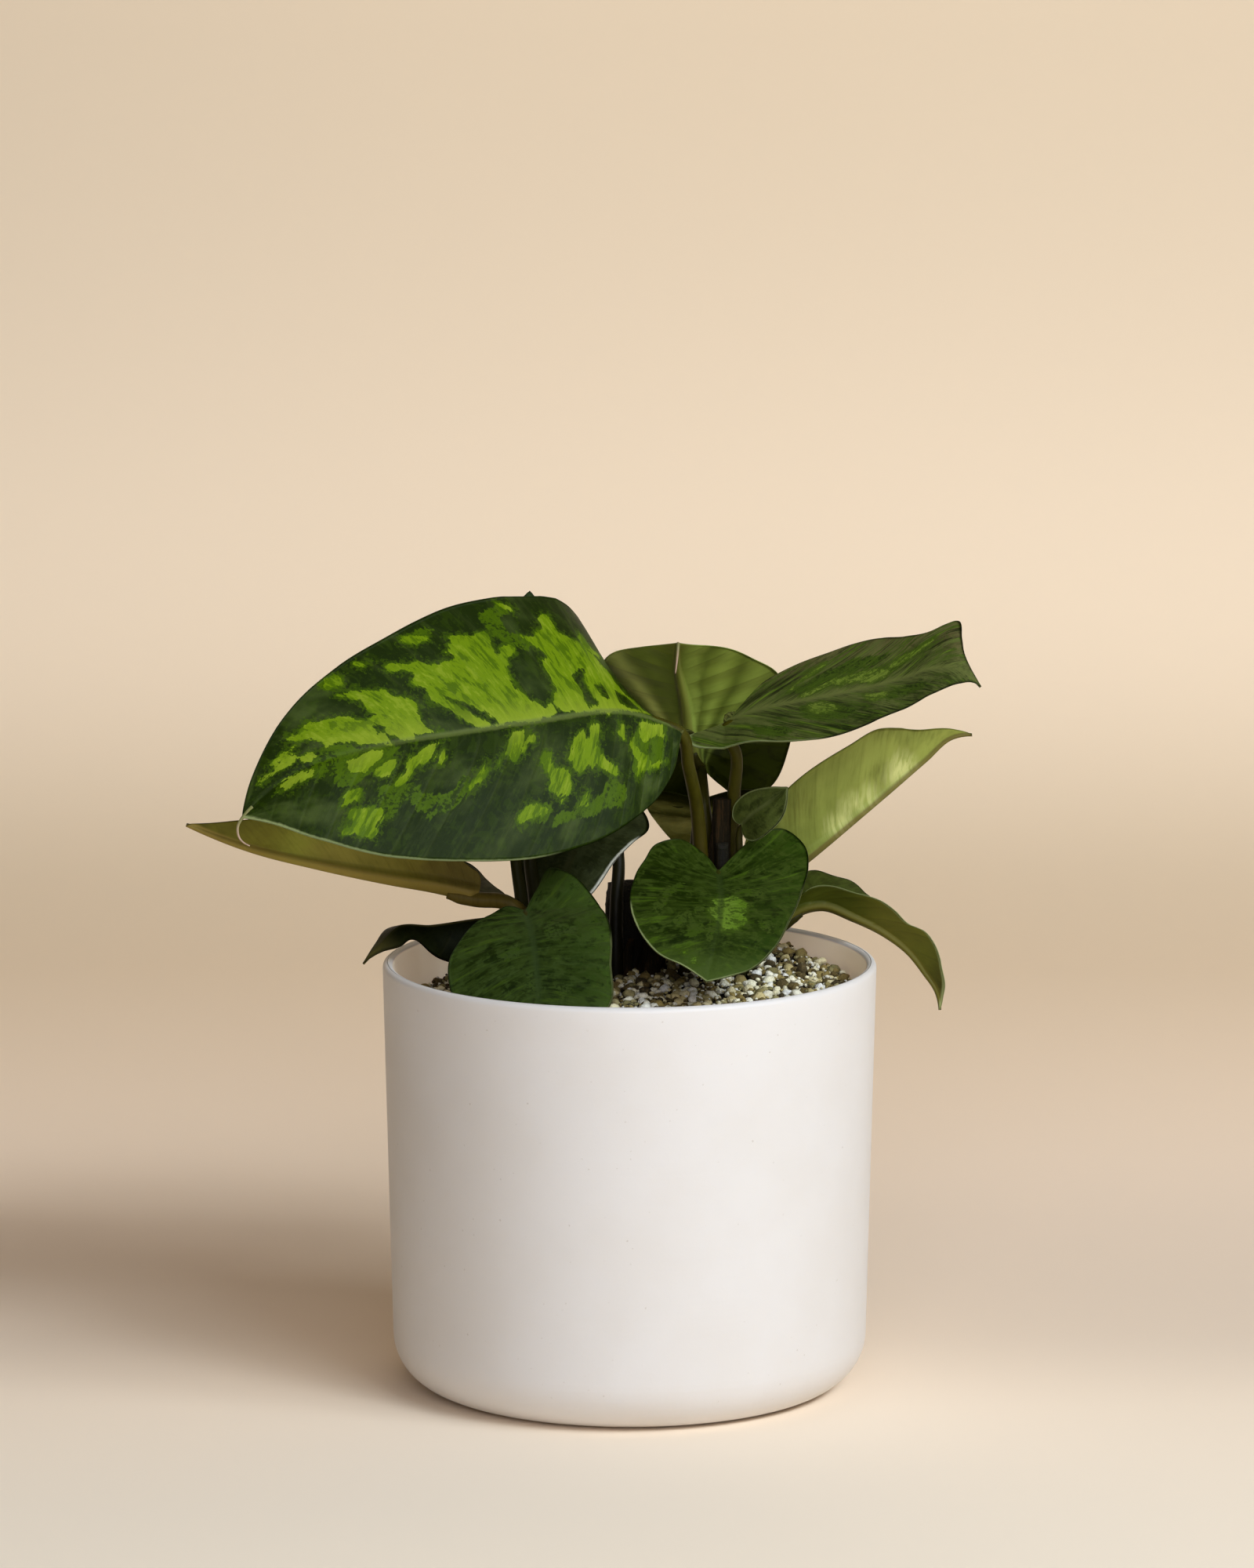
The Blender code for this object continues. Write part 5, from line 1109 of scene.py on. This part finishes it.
def bladeMesh(leaf, look):
    # closed thin blade: points, faces, face materials (0 upper, 1 under) and shader values
    blade = Blade(leaf)
    rows, columns = leaf["fine"]
    grids = {side: blade.half(side, rows, columns) for side in (-1, 1)}
    index, count, parts = {}, 0, []
    for side in (-1, 1):
        number = np.full((rows + 1, columns + 1), -1)
        if side > 0:
            number[:, 0] = index[-1][:, 0]
        number[0, :] = 0 if side > 0 else number[0, :]
        number[rows, :] = index[-1][rows, 0] if side > 0 else number[rows, :]
        fresh = number < 0
        if side < 0:
            fresh[0, 1:] = False
            fresh[rows, 1:] = False
        number[fresh] = count + np.arange(fresh.sum())
        if side < 0:
            number[0, :] = number[0, 0]
            number[rows, :] = number[rows, 0]
        count += fresh.sum()
        index[side] = number
        p, s, w, v, t = grids[side]
        full = np.broadcast_to(v, w.shape)
        turn = np.broadcast_to(t[:, None], w.shape)
        reach = w[:, -1:]
        parts.append((p[fresh], s[fresh], side * w[fresh], full[fresh], turn[fresh],
                      (reach - w)[fresh]))
    p, s, w, v, t, gap = [np.concatenate(column) for column in zip(*parts)]
    triangles = []
    for side in (-1, 1):
        n = index[side]
        a, b, c, d = n[:-1, :-1], n[1:, :-1], n[1:, 1:], n[:-1, 1:]
        pair = np.vstack([np.c_[a.ravel(), b.ravel(), c.ravel()],
                          np.c_[a.ravel(), c.ravel(), d.ravel()]])
        triangles.append(pair if side < 0 else pair[:, ::-1])
    triangles = np.vstack(triangles)
    keep = ((triangles[:, 0] != triangles[:, 1]) & (triangles[:, 1] != triangles[:, 2])
            & (triangles[:, 0] != triangles[:, 2]))
    triangles = triangles[keep]
    normals = np.zeros_like(p)
    first, second, third = [p[triangles[:, k]] for k in range(3)]
    face = np.cross(second - first, third - first)
    for k in range(3):
        np.add.at(normals, triangles[:, k], face)
    normals = unit(normals)
    size, form = np.abs(w), bladeForm
    swell = np.sin(math.pi * (t * leaf["veins"]) % math.pi)**2
    swell *= np.clip(4 * v * (1 - v), 0, 1)**0.7
    quilt = leaf["quilt"] * swell * softStep(size, 1, 6)
    groove = form["groove"] * np.exp(-(size / 0.8)**2) * softStep(gap, 0.5, 3)
    keelRadius = leaf["stalkRadius"][1] * (1 - 0.8 * np.clip(s, 0, 1))
    rounded = np.sqrt(np.clip(1 - (size / (form["keelWidth"] * keelRadius))**2, 0, 1))
    keel = form["keel"] * keelRadius * rounded * softStep(s, -0.02, 0.03)
    thin = form["thick"] - form["edgeThinner"] * softStep(v, 0.8, 1)
    upper = p + normals * (thin + quilt - groove)[:, None]
    lower = p - normals * (thin - quilt + np.maximum(keel, 0))[:, None]
    rim = list(index[-1][:, columns]) + list(index[1][rows - 1:0:-1, columns])
    inner = list(index[-1][:, columns - 1]) + list(index[1][rows - 1:0:-1, columns - 1])
    outward = unit(p[rim] - p[inner])
    edge = (upper[rim] + lower[rim]) / 2 + outward * form["rim"]
    count = len(p)
    points = np.vstack([upper, lower, edge])
    faces = triangles.tolist() + (triangles[:, ::-1] + count).tolist()
    materials = [0] * len(triangles) + [1] * len(triangles)
    for k, a in enumerate(rim):
        m = (k + 1) % len(rim)
        b = rim[m]
        faces.append((a, 2 * count + k, 2 * count + m, b))
        faces.append((2 * count + k, a + count, b + count, 2 * count + m))
        materials += [0, 1]
    pale = look["pale"]
    vein = t * leaf["veins"]
    if "lean" in leaf:
        vein = (s * blade.length - leaf["lean"] * size) / blade.length * leaf["veins"]
    values = dict(vein=vein, out=v, across=w, along=np.clip(s, 0, 1), margin=gap,
                  fan=np.degrees(np.arctan2(size, np.maximum(s * blade.length, 0) + 2)),
                  pale=np.where(w > 0, along(pale.get("right", [(0, 0)]), s),
                                along(pale.get("left", [(0, 0)]), s)),
                  fresh=np.where(w * look["freshSide"] > 0, v**2, 0),
                  **markFields(leaf["look"], s * blade.length, w))
    values = {key: np.r_[column, column, column[rim]] for key, column in values.items()}
    return blade, points, faces, materials, values


def stalkPath(leaf, blade):
    # narrows under the blade, so that the raised midrib there takes over from it
    footRadius, jointRadius = leaf["stalkRadius"]
    x, y, z = leaf["stalk"][0]
    upright = [(x, y, z - stalkForm["under"]), (x, y, z - 4), (x, y, z), (x, y, z + 3)]
    rib, _, up, _ = blade.frame(np.array([0.0, 0.04, 0.1]))
    below = [tuple(p) for p in rib - up * (np.array([0.85, 0.95, 1.0]) * jointRadius)[:, None]]
    t = np.linspace(0, 1, stalkForm["rings"])
    path = smoothPath(upright + leaf["stalk"][1:] + below, t)
    rise = np.clip((path[:, 2] - z) / (below[0][2] - z), 0, 1)
    radii = footRadius + (jointRadius - footRadius) * rise
    return path, radii * (1 - 0.35 * softStep(t, 0.93, 1))


def grainOf(paint, vein, out, across, sideShift, seed):
    # noise that follows the side veins, with a pattern of its own on either side of the rib
    side = across.above(0.0) * sideShift

    def grain(alongVein, outward, shift, *settings):
        place = paint.vector(vein * alongVein, out * outward + side, seed + shift)
        return paint.noise(place, 1, *settings)

    return grain


def sideVeinMask(vein, width):
    return (abs((vein + 0.5).fract() - 0.5) * 2).bell(width)


def bladeTopPaint(name, leaf, look, seed):
    paint = Paint(name, **{"Roughness": 0.5, "Specular IOR Level": 0.07})
    vein, out, across, margin, fraction = [paint.value(key) for key in bladeValues]
    place, size = paint.place(), abs(across)
    grain = grainOf(paint, vein, out, across, 31.7, seed)
    broad, jag = grain(0.6, 2, 0, 3), grain(2.4, 4.5, 3, 5, 0.68)
    streak, brush = grain(9, 5, 5, 4, 0.6), grain(1.6, 2.2, 9, 5, 0.6, 1.4)
    fleck = paint.noise(place, 1100, 4, 0.65)
    mottle = paint.noise(place, 240, 4, 0.6, 1.3)
    ragged = (jag - 0.5) * 4.4 + (streak - 0.5) * 2.4
    much = look["mottle"]
    tone = paint.over(
        look["dark"],
        # broad patches of a lighter tone: painted sheen
        (broad.step(*look["sheenAt"]), look["paleAndSheen"]),
        (paint.value("fresh") * (0.5 + streak * 0.7), look.get("fresh", look["paleAndSheen"])),
        ((brush * 0.6 + streak * 0.4).step(0.49, 0.56) * much, look["paleAndSheen"]),
        ((mottle * 0.7 + streak * 0.3).step(0.5, 0.57) * much, look["mid"]),
        ((mottle * 0.5 + jag * 0.5).step(0.48, 0.4) * much, dimmed(look["dark"], 0.55)))
    if look["brushed"]:
        much = look["brushed"]
        stroke, wide = grain(3, 1.3, 13, 5, 0.68), grain(1.1, 1.1, 17, 4, 0.6)
        tone = paint.over(
            tone,
            (stroke.step(0.5, 0.56) * much * 0.8, look["mid"]),
            (wide.step(0.52, 0.6) * stroke.step(0.42, 0.56) * much, look["paleAndSheen"]),
            (stroke.step(0.44, 0.38) * much * 0.8, dimmed(look["dark"], 0.6)),
            (stroke.step(0.58, 0.64) * much * 0.7, look["lime"]),
            (size.bell(2.6) * streak.step(0.3, 0.6) * much * 0.7, look["rib"]))
    if "tip" in look:
        tone = paint.blend(fraction.step(0.72, 0.98) * 0.8, tone, look["tip"])
    found = marks.get(leaf["look"], {})
    if "mid" in found:
        mask = (paint.value("mid") + ragged * 1.2).step(-0.2, 0.2)
        mid = paint.over(
            look["mid"],
            ((brush * 0.4 + fleck * 0.6).step(0.5, 0.56) * 0.8, look["dark"]),
            ((brush * 0.5 + jag * 0.5).step(0.5, 0.44) * 0.6, look["deep"]))
        tone = paint.blend(mask * (0.7 + brush * 0.5).least(1.0), tone, mid)
    if "lime" in found:
        lime = paint.value("lime")
        halo = (lime + 0.45 + ragged * 1.4).step(-0.12, 0.12) * (0.4 + brush * 0.6)
        specks = (lime + 1.2 + (fleck - 0.5) * 10 + (jag - 0.5) * 5).step(0.0, 0.8)
        mask = (lime + ragged).step(-0.08, 0.08)
        if look["speckled"]:
            mask = mask * (1 - (fleck * 0.45 + jag * 0.55).step(0.5, 0.54) * look["speckled"])
        fine = streak * 0.3 + brush * 0.4 + jag * 0.3
        inner = paint.over(
            look["lime"],
            (fine.step(0.5, 0.55), look["deep"]),
            (fine.step(0.475, 0.43) * 0.6, look["bright"]),
            ((size.bell(5.0) * 0.7 * (0.5 + jag)).least(1.0), look["bright"]))
        tone = paint.over(tone, (halo.least(1.0), look.get("rim", look["mid"])),
                          (specks * 0.35, look["deep"]), (mask * 0.96, inner))
    sideVein = sideVeinMask(vein, 0.1) * size.step(1.5, 5.0)
    ribMask = 1 - (size / look["ribWidth"] + (jag - 0.5) * 1.2).step(0.3, 1.3)
    pale = paint.value("pale")
    edge = 1 - (margin + (jag - 0.5) * 0.5).step(0.2 * look["margin"], look["margin"])
    tone = paint.over(
        tone,
        (sideVein * look["veined"], look["rib"]),
        (ribMask * (1 - fraction.step(*look["ribFade"])) * 0.65, look["rib"]),
        (edge * (1 - pale) * 0.6, dimmed(look["dark"], 0.6)),
        (edge * pale * 0.85, look["edgeTone"]))
    height = streak * 0.3 - sideVein * 0.3 + fleck * 0.3 + brush * 0.8
    paint.feed({"Base Color": tone, "Roughness": 0.42 + fleck * 0.16,
                "Normal": paint.relief(height, 0.3, 0.0005)})
    return paint.material


def bladeUnderPaint(name, leaf, look, seed):
    paint = Paint(name, **{"Roughness": 0.45, "Specular IOR Level": look["gloss"]})
    vein, out, across, margin, fraction = [paint.value(key) for key in bladeValues]
    size = abs(across)
    grain = grainOf(paint, vein, out, across, 17.3, seed)
    broad, streak = grain(0.7, 1.5, 0, 3), grain(8, 3, 5, 4, 0.6)
    mottle = paint.noise(paint.place(), 160, 4, 0.6, 1.0)
    tone = paint.ramp(fraction + (mottle - 0.5) * 0.2, *look["under"])
    found = marks.get(leaf["look"], {})
    # patches of painted highlight (glow) and painted shade, then fan-shaped bands of painted sheen
    # and painted shade that follow the side veins
    for kind in ("glow", "shade"):
        if kind in found:
            mask = (paint.value(kind) + (streak - 0.5) * 5).step(*look["soft"])
            tone = paint.blend(mask * (0.35 + streak.step(0.35, 0.6) * 0.55), tone, look[kind])
    for side, centre, width, strength, colour in look["fans"]:
        right = across.above(0.0)
        half = right if side > 0 else 1 - right
        stripe = abs(paint.value("fan") + (broad - 0.5) * 9 - centre).bell(width) * half
        tone = paint.blend(stripe * strength, tone, colour)
    sideVein = sideVeinMask(vein, 0.12) * size.step(1.0, 3.0)
    for mask, shadow in ((broad.step(0.4, 0.65) * 0.3, (0.5, 0.5, 0.42)),
                         (streak.step(0.45, 0.75) * 0.25, (0.5, 0.5, 0.42)),
                         (sideVein * 0.16, (0.5, 0.5, 0.4))):
        tone = paint.blend(mask, tone, shadow, "MULTIPLY")
    if "keel" in look:
        tone = paint.blend((1 - size.step(*look["keelWidth"])) * 0.7, tone, look["keel"])
    edge = 1 - margin.step(0.2 * look["margin"], look["margin"])
    tone = paint.blend(edge * paint.value("pale") * 0.85, tone, look["edgeTone"])
    paint.feed({"Base Color": tone, "Roughness": 0.4 + streak * 0.15,
                "Normal": paint.relief(streak * 0.25 + sideVein * 0.4 + broad * 0.6, 0.3, 0.0005)})
    return paint.material


def stalkPaint(name, top, foot):
    paint = Paint(name, **{"Roughness": 0.45, "Specular IOR Level": 0.12})
    run, place = paint.value("run"), paint.place()
    streak = paint.noise(paint.scaled(place, 900, 900, 60), 1, 4, 0.6)
    blotch = paint.noise(paint.scaled(place, 260, 260, 120), 1, 3)
    tone = paint.over(foot, (run.step(0.25, 0.75), top),
                      (streak.step(0.4, 0.75) * 0.5, dimmed(top, 0.5)),
                      (blotch.step(0.5, 0.8) * 0.35, dimmed(top, 1.5)))
    paint.feed({"Base Color": tone, "Roughness": 0.38 + streak * 0.2,
                "Normal": paint.relief(streak, 0.25, 0.0004)})
    return paint.material


def addLeaf(leaf, seed):
    look = {**plainLook, **looks[leaf["look"]]}
    blade, points, faces, materials, values = bladeMesh(leaf, look)
    path, radii = stalkPath(leaf, blade)
    sides = stalkForm["sides"]
    turn = fullTurn * np.arange(sides) / sides
    rings = [radius * (1 - 0.05 * np.cos(2 * turn)) for radius in radii]
    parts = [(*tube(path, rings, sides), 2)]
    if "drip" in leaf:
        start, _, _, _ = blade.frame(np.array([0.97, 0.99]))
        count = stalkForm["threadRings"]
        thread = smoothPath(np.vstack([start, leaf["drip"]]), np.linspace(0, 1, count))
        thickness = np.linspace(*stalkForm["threadRadius"], count)
        parts.append((*tube(thread, thickness, stalkForm["threadSides"]), 3))
    bladeCount = total = len(points)
    allPoints, allFaces, run = [points], list(faces), [np.zeros(total)]
    for tubePoints, tubeFaces, tubeRun, material in parts:
        allFaces += [tuple(int(k) + total for k in face) for face in tubeFaces]
        materials += [material] * len(tubeFaces)
        allPoints.append(tubePoints)
        run.append(tubeRun)
        total += len(tubePoints)
    values = {key: np.r_[column, np.zeros(total - bladeCount)] for key, column in values.items()}
    values["run"] = np.concatenate(run)
    name = leaf["name"].replace("leaf_", "") + "_leaf"
    paints = [bladeTopPaint(name + "_upper", leaf, look, seed),
              bladeUnderPaint(name + "_under", leaf, look, seed),
              stalkPaint(name + "_stalk", *look["stalk"])]
    if "drip" in leaf:
        paints.append(stalkPaint(name + "_thread", *stalkForm["thread"]))
    piece = addPiece(name, np.vstack(allPoints), allFaces, paints, materials, values)
    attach(piece, "root")
    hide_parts(leaf["name"])


# short stems: (x, y, foot radius, top radius, top height)
crowns = dict(crown_middle=(-0.5, 31, 6.2, 5.4, 122.8), crown_right=(23.6, 24.7, 2.4, 1.7, 134.5),
              crown_left=(-15, 10.5, 3, 2.2, 109))
crownForm = dict(sides=40, rings=56, under=13, start=2, ridge=0.05, scar=0.05, scarEvery=3.1,
                 rough=0.06, torn=0.14)
# the near-black low ends of these tones are painted shade: the old stems and dry sheaths stand in
# deep shade among the stalks; the browns and green are their own
oldStem = dict(shades=[(0.34, rgb(12, 10, 3)), (0.54, rgb(22, 19, 7)), (0.74, rgb(44, 35, 16))],
               green=rgb(22, 24, 7))
sheathTones = dict(shades=[(0.34, rgb(12, 10, 2)), (0.52, rgb(26, 20, 7)),
                           (0.74, rgb(66, 46, 22))], worn=rgb(58, 38, 18))
sheathForm = dict(sides=26, rings=44, fold=0.09, crease=0.04)
# dry leaf bases that clasp the stalks, dark pieces that also fill the deep shade between them:
# (points, foot radius, top radius)
sheaths = [([(23, 28.4, 104), (23.2, 27.8, 122), (23.2, 27.4, 134), (23.7, 27, 146)], 3.1, 2.2),
           ([(5, 25, 98), (6.5, 23.5, 110), (8.6, 22.6, 120)], 4.2, 1.6),
           ([(4.5, 21, 98), (6.5, 18.5, 106), (9.5, 17.5, 110.5)], 3.4, 0.9),
           ([(-3, 23.5, 98), (-0.5, 20, 106), (0.5, 19, 111)], 2.8, 0.7),
           ([(20.5, 27.4, 104), (20.6, 26.6, 122), (21.6, 26.8, 137)], 1.9, 0.8)]


def crownPaint():
    paint = Paint("oldStem", **{"Roughness": 0.75, "Specular IOR Level": 0.2})
    place = paint.place()
    fibre = paint.noise(paint.scaled(place, 900, 900, 90), 1, 5, 0.65)
    scar = paint.noise(paint.scaled(place, 40, 40, 700), 1, 3)
    tone = paint.blend(scar.step(0.55, 0.7) * 0.5, paint.ramp(fibre, *oldStem["shades"]),
                       oldStem["green"])
    paint.feed({"Base Color": tone, "Normal": paint.relief(fibre + scar * 0.5, 0.8, 0.0008)})
    return paint.material


def addCrowns():
    material, form = crownPaint(), crownForm
    sides, rings = form["sides"], form["rings"]
    for name, (x, y, radius, topRadius, top) in crowns.items():
        ground = soilLevel(x, y)
        heights = np.linspace(ground - form["under"], top, rings)
        turn = fullTurn * np.arange(sides) / sides
        points, faces = [], []
        for k, z in enumerate(heights):
            rise = max(0, (z - ground - form["start"]) / (top - ground - form["start"]))
            base = radius + (topRadius - radius) * rise
            scar = form["scar"] * (((z - ground) / form["scarEvery"]) % 1.0) ** 3
            for a in turn:
                ridge = form["ridge"] * math.sin(3 * a + 7 * rise) * min(1, 3 * rise)
                bump = noise.noise(Vector((math.cos(a) * 2, math.sin(a) * 2, z * 0.35)))
                r = base * (0.95 + ridge + scar + form["rough"] * bump)
                torn = form["torn"] * radius * math.sin(2 * a + 0.8) * rise
                points.append((x + r * math.cos(a), y + r * math.sin(a), z + torn))
            if k:
                faces += band((k - 1) * sides, k * sides, sides)
        faces.append(tuple(range(sides))[::-1])
        points.append((x, y, top + 0.25 * topRadius))
        low = (rings - 1) * sides
        faces += [(low + n, low + (n + 1) % sides, len(points) - 1) for n in range(sides)]
        piece = addPiece(name.replace("crown_", "") + "_stem", points, faces, [material])
        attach(piece, "root")
        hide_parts(name)


def addSheaths():
    paint = Paint("drySheath", **{"Roughness": 0.8, "Specular IOR Level": 0.1})
    place = paint.place()
    fibre = paint.noise(paint.scaled(place, 1100, 1100, 70), 1, 5, 0.65)
    worn = paint.noise(place, 130, 4, 0.6)
    tone = paint.blend(worn.step(0.5, 0.66) * 0.6, paint.ramp(fibre, *sheathTones["shades"]),
                       sheathTones["worn"])
    paint.feed({"Base Color": tone, "Normal": paint.relief(fibre + worn * 0.5, 0.8, 0.0008)})
    points, faces = [], []
    sides, steps = sheathForm["sides"], np.linspace(0, 1, sheathForm["rings"])
    fold, crease = sheathForm["fold"], sheathForm["crease"]
    turn = fullTurn * np.arange(sides) / sides
    for k, (route, foot, top) in enumerate(sheaths):
        path = smoothPath(route, steps)
        rings = [(foot + (top - foot) * t) * (1 + fold * np.sin(3 * turn + k + 5 * t)
                 + crease * np.sin(9 * turn + 11 * t)) for t in steps]
        tubePoints, tubeFaces, _ = tube(path, rings, sides)
        faces += [tuple(int(n) + len(points) for n in face) for face in tubeFaces]
        points += tubePoints.tolist()
    piece = addPiece("dry_sheaths", points, faces, [paint.material])
    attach(piece, "root")


addSoil()
addGrit()
addCrowns()
addSheaths()
print("soil and stems done")
for seed, leaf in enumerate(leaves):
    addLeaf(leaf, seed * 11.3)
print("leaves done")
